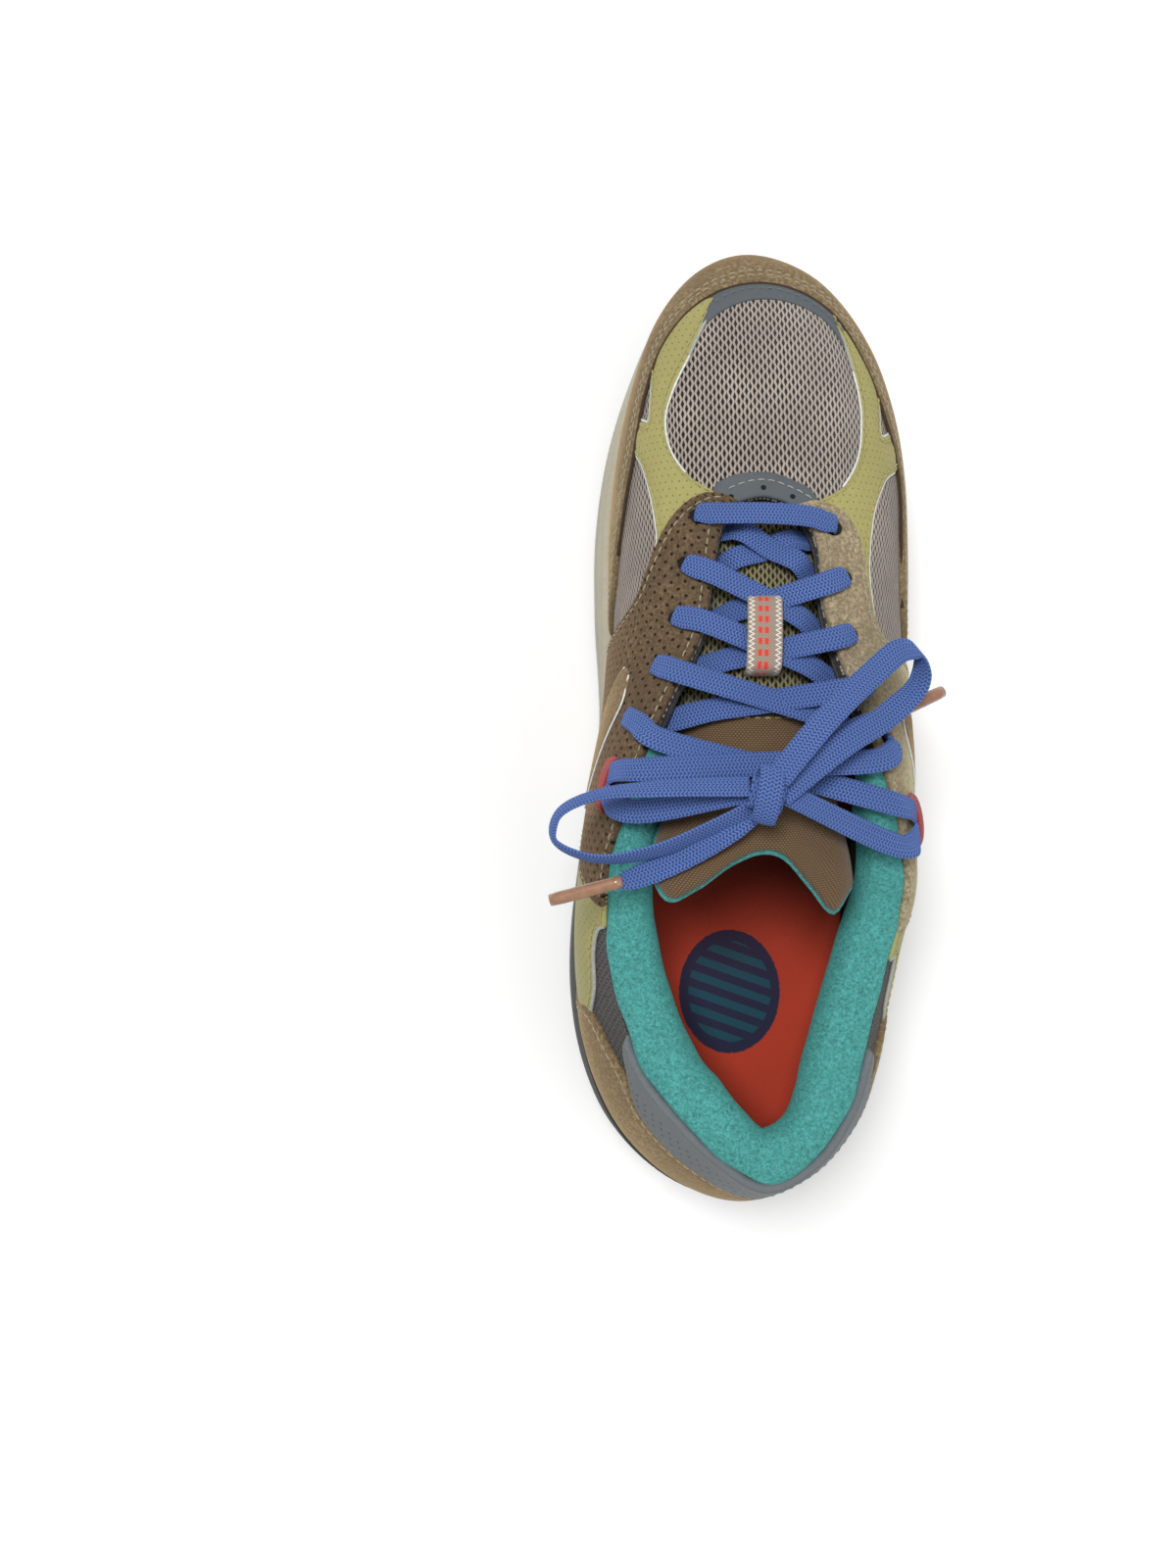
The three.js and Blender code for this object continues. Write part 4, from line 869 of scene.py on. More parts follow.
# ---------------------------------------------------------------- the upper
BELOW, ABOVE = -0.1, 1.1
PANELS = {
    "toe_rand": [
        (9.2, BELOW), (9.5, 0.2), (10.3, 0.38), (11.4, 0.41), (12.4, 0.42), (13.4, 0.44), (14.1, 0.41), (14.8, 0.36),
        (15.6, 0.36), (16.3, 0.375), (17.1, 0.39), (17.8, 0.42), (18.4, 0.47), (19.1, 0.49), (19.8, 0.48),
        (20.5, 0.43), (21.2, 0.35), (21.9, 0.22), (22.5, BELOW),
    ],
    "saddle_medial": [
        (17.9, ABOVE), (17.95, 0.97), (18.3, 0.925), (18.9, 0.89), (19.6, 0.83), (20.2, 0.77), (20.8, 0.7),
        (21.5, 0.61), (22.1, 0.46), (22.6, 0.2), (22.7, BELOW), (25.2, BELOW), (25.5, 0.25), (26.2, 0.6), (26.5, ABOVE),
    ],
    "saddle_lateral": [
        (5.5, ABOVE), (5.8, 0.6), (6.3, 0.25), (6.7, BELOW), (8.9, BELOW), (9.1, 0.1), (9.5, 0.4), (9.9, 0.6),
        (10.3, 0.72), (11.1, 0.77), (11.9, 0.82), (12.6, 0.86), (13.1, 0.91), (13.5, 0.96), (13.6, ABOVE),
    ],
    "wing_lateral": [
        (15.2, 0.3), (14.95, 0.38), (14.65, 0.43), (14.35, 0.51), (14, 0.58), (13.75, 0.65), (13.5, 0.72),
        (13.28, 0.83), (13.35, 0.95), (12.6, 0.95), (11.4, 0.88), (10.3, 0.82), (9.9, 0.76), (10.3, 0.725),
        (10.85, 0.74), (11.5, 0.76), (11.95, 0.75), (12.35, 0.7), (12.53, 0.6), (12.35, 0.46), (12.25, 0.34),
        (12.85, 0.32), (12.95, 0.45), (13.2, 0.53), (13.5, 0.43), (13.7, 0.32), (14.3, 0.28),
    ],
    "wing_medial": [
        (16.4, 0.3), (16.56, 0.4), (16.8, 0.47), (17.15, 0.56), (17.65, 0.62), (18, 0.66), (18.2, 0.74),
        (18.25, 0.83), (18.1, 0.95), (19, 0.95), (20.4, 0.86), (21.6, 0.74), (21.3, 0.68), (21.05, 0.69),
        (20.4, 0.735), (20, 0.71), (19.65, 0.66), (19.45, 0.59), (19.5, 0.5), (19.6, 0.38), (19, 0.36),
        (18.92, 0.48), (18.5, 0.57), (18.22, 0.5), (18.1, 0.36), (17.4, 0.3),
    ],
    "toe_strip": [
        (16.8, 0.28), (16.75, 0.4), (16.95, 0.49), (16.5, 0.462), (16.2, 0.444), (15.9, 0.432), (15.55, 0.422),
        (15.2, 0.416), (14.9, 0.42), (14.55, 0.46), (14.75, 0.39), (14.85, 0.28), (15.8, 0.27),
    ],
    "throat_tab": [
        (18.6, ABOVE), (18.35, 0.95), (17.9, 0.925), (17.1, 0.93), (16.35, 0.94), (15.65, 0.94), (14.8, 0.935),
        (13.7, 0.925), (13.2, 0.95), (12.9, ABOVE),
    ],
    "quarter_lateral": [
        (5.2, ABOVE), (4.95, ABOVE), (5, 0.9), (4.75, 0.82), (4.2, 0.74), (3.85, 0.56), (3.9, 0.3), (4.3, BELOW),
        (7.0, BELOW), (6.7, 0.3), (6.1, 0.6), (5.8, ABOVE),
    ],
    "quarter_medial": [
        (26.3, ABOVE), (26.85, ABOVE), (26.95, 0.9), (27.25, 0.82), (27.8, 0.74), (28.15, 0.56), (28.1, 0.3),
        (27.7, BELOW), (24.9, BELOW), (25.1, 0.3), (25.9, 0.6),
    ],
    "heel_wrap": [
        (27.5, BELOW), (27.9, 0.3), (28.1, 0.58), (28.6, 0.7), (29.1, 0.74), (29.65, 0.66), (30.25, 0.62), (31, 0.62),
        (32, 0.61), (33, 0.62), (33.75, 0.62), (34.35, 0.66), (34.9, 0.74), (35.4, 0.7), (35.9, 0.58), (36.1, 0.3),
        (36.5, BELOW),
    ],
    "heel_collar": [
        (28.5, ABOVE), (28.6, 0.95), (29, 0.84), (29.65, 0.67), (30.25, 0.62), (31, 0.62), (32, 0.61), (33, 0.62),
        (33.75, 0.62), (34.35, 0.67), (35, 0.84), (35.4, 0.95), (35.5, ABOVE),
    ],
    "side_stripe_lateral": [(6.9, 0.3), (7.5, 0.3), (9.2, 0.62), (9.1, 0.68), (8.5, 0.68)],
    "side_stripe_medial": [(25.1, 0.3), (24.5, 0.3), (22.8, 0.62), (22.9, 0.68), (23.5, 0.68)],
}
OUTLINES = {name: outline_of(points) for name, points in PANELS.items()}
EYELETS = {
    "medial": [(19.45, 0.915), (20.6, 0.89), (21.7, 0.86), (22.65, 0.84), (23.6, 0.78)],
    "lateral": [(12.4, 0.925), (11.35, 0.9), (10.35, 0.905), (9.45, 0.905), (8.55, 0.9)],
}
# How far each layer's face stands off the base cloth, and how far in from an edge its seams run.
BASE = 1.4
LOWER, UPPER, STRIPE = 0.9, 1.9, 2.8
SEAM, NARROW_SEAM, RAND_SEAMS = 2.2, 1.9, (2.0, 3.8)
THREAD_SINK = 0.05
EYELET_HOLE = 2.5


def rectangle(s0, s1, t0=0.0, t1=1.0):
    return resampled(np.array([(s0, t0), (s1, t0), (s1, t1), (s0, t1)]) * FLAT, 2.0, closed=True)


def build_upper():
    eyelet = {side: [hole(p, EYELET_HOLE) for p in places] for side, places in EYELETS.items()}
    every = eyelet["medial"] + eyelet["lateral"]
    o = OUTLINES
    for name, ends, material, holes, uv, node in (
        ("vamp_base", (8.6, 23.55), "vamp", every, "plan", "vamp_mesh"),
        ("quarter_base_lateral", (0.01, 8.59), "dark_mesh", (), "side", "quarter_mesh_lateral"),
        ("quarter_base_medial", (23.56, 31.99), "dark_mesh", (), "side", "quarter_mesh_medial"),
    ):
        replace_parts(panel(name, rectangle(*ends), -BASE, 0, material, holes, uv, 3.2), node)
    for name, outer, material, uv, groove, holes in (
        ("wing_lateral", LOWER, "olive", "plan", (NARROW_SEAM,), []),
        ("wing_medial", LOWER, "olive", "plan", (NARROW_SEAM,), []),
        ("toe_strip", LOWER, "grey", "plan", (), []),
        ("throat_tab", LOWER + 0.2, "grey", "plan", (), []),
        ("heel_collar", UPPER + 0.5, "grey_dots", "pattern", (), []),
        ("toe_rand", UPPER, "suede", "round", RAND_SEAMS, []),
        ("saddle_medial", UPPER, "perforated", "side", (SEAM,), eyelet["medial"]),
        ("saddle_lateral", UPPER, "suede_light", "side", (SEAM,), eyelet["lateral"]),
        ("quarter_lateral", LOWER + 0.3, "olive", "side", (NARROW_SEAM,), []),
        ("quarter_medial", LOWER + 0.3, "olive", "side", (NARROW_SEAM,), []),
        ("heel_wrap", UPPER, "suede", "round", (SEAM,), []),
        ("side_stripe_lateral", STRIPE, "suede", "side", (), []),
        ("side_stripe_medial", STRIPE, "suede", "side", (), []),
    ):
        inner = UPPER - 0.4 if name.startswith("side") else -0.3
        piece = panel(name + "_panel", o[name], inner, outer, material, holes, uv, groove=groove, puff=0.25)
        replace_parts(piece, name)
    top = UPPER - THREAD_SINK
    ends = [end for inset in RAND_SEAMS for end in edge_stitches(o["toe_rand"], inset, top)]
    stitches("stitches_rand", ends, "thread_light")
    for name in ("saddle_medial", "saddle_lateral", "heel_wrap"):
        stitches("stitches_" + name, edge_stitches(o[name], SEAM, top), "thread_light")
    ends = edge_stitches(o["heel_collar"], SEAM, top + 0.5, part=lambda s, t: t < 0.93)
    stitches("stitches_heel_collar", ends, "thread_grey")
    covers = [o["toe_rand"], o["saddle_medial"], o["saddle_lateral"], o["throat_tab"]]
    for side in ("lateral", "medial"):
        around = [o["saddle_" + side], o["heel_wrap"], o["heel_wrap"] - [STATIONS * FLAT[0], 0], o["heel_collar"]]
        for name, depth, hidden in (("wing_", LOWER + 0.1, covers), ("quarter_", LOWER + 0.4, around)):
            ends = edge_stitches(o[name + side], NARROW_SEAM, depth, hidden=hidden)
            stitches("stitches_" + name + side, ends, "thread_olive")
    arc = [
        (12.6, 0.925), (13.3, 0.942), (14.2, 0.954), (15, 0.96), (16, 0.962), (17, 0.96), (17.8, 0.954),
        (18.7, 0.942), (19.3, 0.925),
    ]
    ends = sewn(smooth_line(np.array(arc) * FLAT, 8), LOWER + 0.35, hidden=covers[:3])
    stitches("stitches_tab", ends, "thread_pale")
    # Three dark dishes paint the shade inside the tab's punched holes.
    for k, place in enumerate(((14.1, 0.978), (16.0, 0.981), (17.9, 0.978))):
        pin(f"tab_hole_shade_{k + 1}", place, 0.8, LOWER + 0.28)
    for side in ("lateral", "medial"):
        stripe = PANELS["side_stripe_" + side]
        piping("piping_stripe_" + side, stripe[3:] + stripe[:3], UPPER + 0.5)
    strip = [(14.6, 0.40), (15.2, 0.385), (15.9, 0.39), (16.4, 0.405), (16.8, 0.43)]
    ends = sewn(smooth_line(np.array(strip) * FLAT, 10), LOWER + 0.12, hidden=[o["toe_rand"]])
    stitches("stitches_strip", ends, "thread_grey")
    # Dark dishes fill the eyelet holes: painted shade inside each hole round the lace.
    for side, places in EYELETS.items():
        for k, place in enumerate(places):
            pin(f"eyelet_hole_shade_{side}_{k + 1}", place, 2.45, 1.15)
    # A dark tube along the rand's inner edge: partly the darker cut edge of the thick suede, partly painted shade where
    # that edge meets the panels beside it.
    piping("rand_edge_and_painted_shade", PANELS["toe_rand"][2:17], 0.75, "dark_edge_and_shade", 0.75)
    for side, toe, rear, slim, window in (
        ("medial", 16.3, 26.88, 0.6, slice(12, 19)), ("lateral", 15.3, 4.97, 0.5, slice(13, 20)),
    ):
        wing, quarter = PANELS["wing_" + side], PANELS["quarter_" + side]
        piping("piping_toe_" + side, [(toe, 0.3), *wing[1:4]], 0.45, "silver", slim)
        for name, part in (("vamp_", slice(1, 8)), ("window_", window), ("notch_", slice(21, 25))):
            piping("piping_" + name + side, wing[part], 0.35)
        piping("piping_rear_" + side, [(rear, 0.985), *quarter[2:6]], 0.5, "silver", 0.8)
    lining = panel("vamp_lining_cloth", rectangle(8.45, 23.75), -4.4, -1.5, "lining", every, "plan", 4.0)
    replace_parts(lining, "vamp_lining", "toe_puff")


build_upper()

# ---------------------------------------------------------------- the padded collar
COLLAR_FROM, COLLAR_TO = 23.95, STATIONS + 8.2


def collar_path(s):
    """The fleece's outer face at a station: over the roll and down to the board."""
    leg = -BASE - 0.1
    fade = min(1, (s - COLLAR_FROM) / 1.6 + 0.45, (COLLAR_TO - s) / 1.6 + 0.45)
    y = float(ring(OPENING, s)[1])
    pad = 13 * float(along([(-132, 0.85), (-105, 1.1), (-60, 1.0), (-35, 0.75), (0, 0.7)], y)) * fade
    inward = -outwards(s)
    lift = 3.6 * min(1, pad / 8)
    notch = math.exp(-(((s - STATIONS) / 0.55) ** 2))
    pad += 1.5 * notch
    lift -= 2.2 * notch

    def roll(deep, high):
        return lifted(s, 1.0, leg) + inward * deep + np.array([0, 0, high])

    path = [
        lifted(s, 0.9, leg), roll(0, -0.3), roll(-1.35, 0.3), roll(-0.9, lift * 0.5), roll(pad * 0.16, lift * 0.95),
        roll(pad * 0.5, lift * 1.1), roll(pad * 0.8, lift * 0.72), roll(pad, -1.8), roll(pad * 0.98, -8),
        lifted(s, 0.6, -pad * 0.85 - 3.5), lifted(s, 0.35, -pad * 0.4 - 4.5), lifted(s, 0.05, -6.0),
    ]
    return smooth_line(path, 5)


def build_collar():
    stations = np.linspace(COLLAR_FROM, COLLAR_TO, 150)
    rng = np.random.default_rng(4)
    waves = [(rng.uniform(0.3, 1.1), rng.uniform(0, 6.3), rng.uniform(0.05, 0.22)) for _ in range(7)]
    outer, inner, uvs = [], [], []
    around = 0.0
    before = None
    for s in stations:
        path = collar_path(s)
        across = np.array([-outwards(s)[1], outwards(s)[0], 0])
        n = unit(np.cross(np.gradient(path, axis=0), across))
        far = far_along(path)
        if before is not None:
            around += np.linalg.norm(path[15] - before[15])
        before = path
        ripple = sum(a * math.sin(around * f * 0.35 + p) for f, p, a in waves)
        soft = np.exp(-(((far - 14) / 12) ** 2)) * ripple
        path = path - n * soft[:, None]
        outer.append(path)
        inner.append(path + n * 1.0)
        uvs.append(np.stack([np.full(len(path), around), far], 1))
    points = np.concatenate([outer, inner]).reshape(-1, 3)
    uvs = np.concatenate([uvs, uvs]).reshape(-1, 2)
    piece = new_piece("collar_fleece", points, slab(len(stations), len(outer[0])), "fleece", uvs)
    fix_normals(piece)
    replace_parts(piece, "collar_lining", "collar_foam", "heel_counter")
    return piece


build_collar()


# ---------------------------------------------------------------- the sole
FOOTBED_SINK = 8.0  # the footbed's seat, below the rim


def flare(share, less=0.0):
    return lambda y: share * along(SOLE_FLARE, y) - less


def ground(y):
    return np.maximum(0, along(GROUND, y))


def tread_top(y):
    return ground(y) + along([(-60, 5.0), (0, 3.6)], y)


def rim_top(y):
    return along(FEATHER_Z, y) - 0.3


def sole_ring(s, grow, height):
    p = ring(FEATHER, s)
    y = p[:, 1]
    out = outwards(s) * np.asarray(grow(y))[:, None]
    return np.concatenate([p, np.asarray(height(y))[:, None]], 1) + out


def ring_solid(rings):
    """Points and faces of a closed stack of rings, with laddered ends."""
    n = len(rings[0])
    faces = skin(len(rings), n)
    for base in (0, (len(rings) - 1) * n):
        for k in range(n // 2):
            quad = (k, k + 1, n - k - 1, (n - k) % n)
            quad = tuple(dict.fromkeys(base + q for q in quad))
            if len(quad) > 2:
                faces.append(quad)
    return np.concatenate(rings), faces


def cut(bm, point, direction):
    """Keeps what is behind a plane and closes the cut."""
    found = bmesh.ops.bisect_plane(
        bm, geom=bm.verts[:] + bm.edges[:] + bm.faces[:], plane_co=point, plane_no=direction, clear_outer=True
    )
    edges = [e for e in found["geom_cut"] if isinstance(e, bmesh.types.BMEdge)]
    if edges:
        bmesh.ops.edgeloop_fill(bm, edges=edges)


def sole_piece(name, rings, material, cuts, node):
    piece = new_piece(name, *ring_solid(rings), material)
    with edited(piece) as bm:
        for point, direction in cuts:
            cut(bm, Vector(point) * MM, Vector(direction))
        bmesh.ops.recalc_face_normals(bm, faces=bm.faces)
    for polygon in piece.data.polygons:
        polygon.use_smooth = len(polygon.vertices) < 5
    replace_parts(piece, node)


def build_midsole():
    s = np.linspace(0, STATIONS, 192, endpoint=False)

    def level(share, flare_share, dent):
        """A ring at a share of the side's height."""
        return sole_ring(s, flare(flare_share, dent), lambda y: tread_top(y) + (rim_top(y) - tread_top(y)) * share)

    side = [
        (0.0, 0.80, 0), (0.02, 0.93, 0), (0.10, 0.98, 0), (0.20, 1.0, 0), (0.24, 1.0, 0), (0.26, 1.0, 1.0),
        (0.29, 1.0, 1.0), (0.31, 1.0, 0), (0.40, 1.0, 0), (0.50, 0.98, 0.1), (0.56, 0.95, 0.1), (0.58, 0.95, 1.1),
        (0.61, 0.94, 1.1), (0.63, 0.93, 0), (0.72, 0.86, 0), (0.82, 0.74, 0), (0.90, 0.60, 0), (0.95, 0.46, -1.2),
        (0.985, 0.36, -1.7), (1.0, 0.26, -1.6), (1.0, 0.1, -0.6),
    ]
    rings = [level(*row) for row in side]
    rings.append(sole_ring(s, flare(0, 6.5), rim_top))
    rings.append(sole_ring(s, flare(0, 7.5), lambda y: rim_top(y) - FOOTBED_SINK))
    lean, front, gap = 0.35, -18.0, 0.35
    ahead = (0, math.cos(lean), math.sin(lean))
    behind = tuple(-c for c in ahead)
    split = 25.0
    rear = ((0, front - gap, 0), ahead)
    sole_piece("midsole_forefoot_foam", rings, "stone", [((0, front, 0), behind)], "midsole_forefoot")
    sole_piece("midsole_heel_upper", rings, "black_foam", [rear, ((0, 0, split), (0, 0, -1))], "midsole_heel_rim")
    sole_piece("midsole_heel_lower", rings, "green_foam", [rear, ((0, 0, split - gap), (0, 0, 1))],
               "midsole_heel_core")


def lugs(name, y_from, y_to, material):
    """Chevron tread blocks, 1.7 mm deep, that stay inside the sole's outline."""
    s = np.linspace(0, STATIONS, 256, endpoint=False)
    edge = sole_ring(s, flare(0.55, 1.5), ground)[:, :2]
    points, faces = [], []
    pitch_x, pitch_y = 12.0, 8.6
    chevron = np.array([(-5, -2.6), (0, 0.4), (5, -2.6), (5, 0.8), (0, 3.8), (-5, 0.8)]) * 0.98
    for row in range(int((y_to - y_from) / pitch_y)):
        for col in range(-6, 7):
            cx = col * pitch_x + (row % 2) * pitch_x / 2
            cy = y_from + (row + 0.5) * pitch_y
            shape = chevron + [cx, cy - 0.5]
            if not inside(shape, edge).all() or shape[:, 1].min() < y_from or shape[:, 1].max() > y_to:
                continue
            middle = shape.mean(0)
            start = len(points)
            for scale, drop in ((1.0, 1.75), (1.0, 0.45), (0.88, 0.0)):
                for x, y in middle + (shape - middle) * scale:
                    points.append((x, y, float(ground(y)) + drop))
            faces += skin(3, 6, start)
            for base, order in ((0, (0, 1, 4, 5)), (0, (1, 2, 3, 4)), (12, (5, 4, 1, 0)), (12, (4, 3, 2, 1))):
                faces.append(tuple(start + base + k for k in order))
    fix_normals(new_piece(name, points, faces, material, smooth=False))


def build_outsole():
    s = np.linspace(0, STATIONS, 192, endpoint=False)
    rings = [
        sole_ring(s, flare(0.62), lambda y: ground(y) + 1.7),
        sole_ring(s, flare(0.80), lambda y: ground(y) + 1.75),
        sole_ring(s, flare(0.90), lambda y: ground(y) + 2.3),
        sole_ring(s, flare(0.95), lambda y: tread_top(y) - 0.3),
        sole_ring(s, flare(0.80), lambda y: tread_top(y) - 0.1),
    ]
    front, back = 8.0, -34.0
    sole_piece("outsole_forefoot_sheet", rings, "rubber", [((0, front, 0), (0, -1, 0))], "outsole_forefoot")
    sole_piece("outsole_heel_sheet", rings, "rubber", [((0, back, 0), (0, 1, 0))], "outsole_heel")
    plate = [
        sole_ring(s, flare(0.5), lambda y: ground(y) + 1.9), sole_ring(s, flare(0.7), lambda y: tread_top(y) - 0.2),
    ]
    sole_piece("midfoot_plate", plate, "shank",
               [((0, front - 0.3, 0), (0, 1, 0)), ((0, back + 0.3, 0), (0, -1, 0))], "midfoot_shank")
    lugs("tread_forefoot", front + 1, 152, "rubber")
    lugs("tread_heel", -152, back - 1, "rubber")


def build_footbed():
    """A dished footbed with its printed cover, a little higher at its edges."""
    s = np.linspace(0, STATIONS, 128, endpoint=False)

    def above(high):
        return lambda y: rim_top(y) - FOOTBED_SINK + high

    rings = [sole_ring(s, flare(0, far), above(high)) for far, high in ((9.0, 2.2), (8.2, 5.0), (8.2, 6.5), (9.0, 6.8))]
    base = new_piece("footbed_foam", *ring_solid(rings), "board", body="footbed")
    fix_normals(base)
    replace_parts(base, "sockliner")
    shares = [1.0, 1.0, 0.97, 0.93, 0.86, 0.76, 0.62, 0.45, 0.28, 0.12]
    mid_x = along([(-150, -6), (-60, -6), (40, 3), (150, 3)], sole_ring(s, flare(0), ground)[:, 1])
    rings = []
    for k, share in enumerate(shares):
        edge = sole_ring(s, flare(0, 8.4 if k < 2 else 8.0), above(0))
        p = edge.copy()
        p[:, 0] = mid_x + (edge[:, 0] - mid_x) * share
        p[:, 1] = edge[:, 1] * (1 - (1 - share) * 0.55)
        lip = 0.0 if k == 0 else 1.2 * max(0.0, (share - 0.6) / 0.4) ** 2
        p[:, 2] = above(7.0 if k == 0 else 7.7 + lip)(p[:, 1])
        rings.append(p)
    cover = new_piece("footbed_cover", *ring_solid(rings), "insole", body="footbed")
    fix_normals(cover)
    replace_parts(cover, "sockliner_cover")


build_midsole()
build_outsole()
build_footbed()
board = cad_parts["strobel_board"].data.materials
board.clear()
board.append(MATERIALS["board"])


# ---------------------------------------------------------------- the tongue
TONGUE_TOP = [(-52, 110.5), (-42, 108), (-20, 99.5), (0, 91.8), (30, 82.8), (60, 73), (84, 66.5)]
TONGUE_MIDDLE = [(-52, -6.5), (-42, -6.2), (-28, -5.6), (-10, -3.6), (0, -3), (60, 0), (84, 0)]
TONGUE_HALF = [(-52, 27.8), (-44, 27.9), (-36, 27.0), (-28, 25.2), (-10, 22.6), (10, 25), (30, 25), (60, 21), (84, 18)]
TONGUE_DROP = [(-52, 6), (-42, 7), (-28, 8.5), (0, 10.5), (30, 10), (60, 7), (84, 5)]
TONGUE_BACK = [
    (-1, -42), (-0.86, -49), (-0.55, -46.5), (-0.2, -39.5), (0.1, -36.5), (0.3, -38), (0.55, -46), (0.8, -53), (1, -46),
]


def on_tongue(y, u, depth=0.0):
    """A point of the tongue: y along the shoe, u from -1 to 1 across, depth below the top face."""
    y, u = np.asarray(y, float), np.asarray(u, float)
    x = along(TONGUE_MIDDLE, y) + u * along(TONGUE_HALF, y)
    return np.stack([x, y, along(TONGUE_TOP, y) - along(TONGUE_DROP, y) * u * u - depth], -1)


def quilt(name, place, wide, long, top, bottom, round_at, material, body, ripple=0.0, round_ends=(True, True)):
    """A closed padded strip. place(v, u, depth) maps the unit square, v along it and u from -1 to 1 across it."""
    u = np.linspace(-1, 1, wide)
    v = np.linspace(0, 1, long)
    vv, uu = np.meshgrid(v, u, indexing="ij")
    flat = place(vv, uu, top)
    step_u = np.linalg.norm(np.diff(flat, axis=1), axis=2)
    step_v = np.linalg.norm(np.diff(flat, axis=0), axis=2)
    far_u = np.concatenate([np.zeros((long, 1)), np.cumsum(step_u, axis=1)], 1)
    far_v = np.concatenate([np.zeros((1, wide)), np.cumsum(step_v, axis=0)], 0)
    to_edge = np.minimum(far_u, far_u[:, -1:] - far_u)
    if round_ends[0]:
        to_edge = np.minimum(to_edge, far_v)
    if round_ends[1]:
        to_edge = np.minimum(to_edge, far_v[-1:] - far_v)
    full = np.sqrt(np.clip(1 - (1 - np.clip(to_edge / round_at, 0, 1)) ** 2, 0, 1))
    middle, half = (top + bottom) / 2, (bottom - top) / 2
    wave = ripple * np.sin(vv * 31 + 2.2 * np.sin(uu * 3)) * np.exp(-((uu * 1.1) ** 2)) * full
    above = place(vv, uu, middle - half * full - wave)
    below = place(vv, uu, middle + half * np.maximum(full, 0.02))
    points = np.concatenate([above.reshape(-1, 3), below.reshape(-1, 3)])
    uvs = np.stack([far_u - far_u[:, wide // 2 : wide // 2 + 1], far_v], -1).reshape(-1, 2)
    piece = new_piece(name, points, slab(long, wide), material, np.concatenate([uvs, uvs]), body)
    fix_normals(piece)
    return piece


def build_tongue():
    seam = 2.0

    def front(v, u, depth):
        return on_tongue(83 - (83 - seam + 4) * v, u * 0.985, depth)

    def back(v, u, depth):
        rear = along(TONGUE_BACK, u)
        return on_tongue(seam + 1.5 * u * u + (rear - seam - 1.5 * u * u) * v, u, depth)

    def under(v, u, depth):
        rear = along(TONGUE_BACK, u) - 1.4
        return on_tongue(30 + (rear - 30) * v, u * 1.012, depth)

    mesh = quilt("tongue_mesh_top", front, 25, 40, 0.0, 1.6, 1.2, "tongue_mesh", "tongue", round_ends=(True, False))
    weave = quilt("tongue_weave_top", back, 41, 44, -1.3, 3.0, 4.2, "tongue_weave", "tongue", 0.3, (True, True))
    pad = quilt("tongue_fleece_under", under, 41, 50, 1.7, 5.6, 3.2, "fleece", "tongue")
    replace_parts(mesh, "tongue_shell")
    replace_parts(weave, "tongue_shell")
    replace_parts(pad, "tongue_lining", "tongue_foam")
    ends = []
    for at in np.arange(-0.94, 0.94, 0.125):
        y = seam - 1.8 + 1.5 * at * at
        ends.append((on_tongue(y, at, -1.15), on_tongue(y, at + 0.085, -1.15), np.array([0, 0.3, 0.95])))
    stitches("stitches_tongue", ends, "thread_olive", 0.22, "tongue")


build_tongue()

# ---------------------------------------------------------------- the lace, its keepers and the label
LACE_WIDE, LACE_THICK = 7.2, 1.25
LACE_FACE = np.array([0, 0.37, 0.93])
LACE_TOP, LACE_UNDER = 2.9, -6.5


def spread(keys, pitch):
    """A smooth dense line from (place, width, face) keys."""
    line = smooth_line([[*at, width, *unit(face)] for at, width, face in keys], 12)
    far = far_along(line[:, :3])
    at = np.linspace(0, far[-1], max(4, int(far[-1] / pitch)))
    return np.stack([np.interp(at, far, line[:, k]) for k in range(7)], 1), at


def ribbon(name, keys, material="lace", thick=LACE_THICK, pitch=0.9, cup=0.12):
    """A woven ribbon: a flat rounded section swept along keys of (place, width, face)."""
    line, far = spread(keys, pitch)
    centre, width, face = line[:, :3], line[:, 3], line[:, 4:]
    tangent = unit(np.gradient(centre, axis=0))
    across = unit(np.cross(face, tangent))
    lift = np.cross(tangent, across)
    turn = np.linspace(0, 2 * math.pi, 18, endpoint=False)
    side = np.sign(np.cos(turn)) * np.abs(np.cos(turn)) ** 0.55
    high = np.sign(np.sin(turn)) * np.abs(np.sin(turn)) ** 0.75
    edge = 1 + 0.012 * np.sin(far * 5.2)
    x = side[None] * width[:, None] / 2 * edge[:, None]
    y = high[None] * thick / 2 - cup * (side[None] ** 2) * (width[:, None] / LACE_WIDE)
    points = centre[:, None] + across[:, None] * x[..., None] + lift[:, None] * y[..., None]
    uvs = np.stack([np.broadcast_to(side[None] * LACE_WIDE / 2, x.shape), np.broadcast_to(far[:, None], x.shape)], -1)
    piece = new_piece(name, points.reshape(-1, 3), rod(len(centre), len(turn)), material, uvs.reshape(-1, 2))
    fix_normals(piece)
    return piece


def eyelet_keys(place, towards):
    """The lace comes up through its hole, narrow, and folds over towards its way out."""
    n = normal(*place)
    at = surface(*place)
    d = np.asarray(towards, float) - at
    d = unit(d - n * d.dot(n))
    return [
        (at + n * LACE_UNDER, 4.4, -d + 0.1 * n),
        (at + n * 0.4 - d * 0.3, 4.2, -d + 0.25 * n),
        (at + n * (LACE_TOP + 0.2) + d * 0.6, 5.6, n - 0.35 * d),
        (at + n * (LACE_TOP + 0.25) + d * 3.6, 6.9, n),
    ]


def over_edge(s, high=1.0):
    return lifted(s, 1.0, LACE_TOP + high)


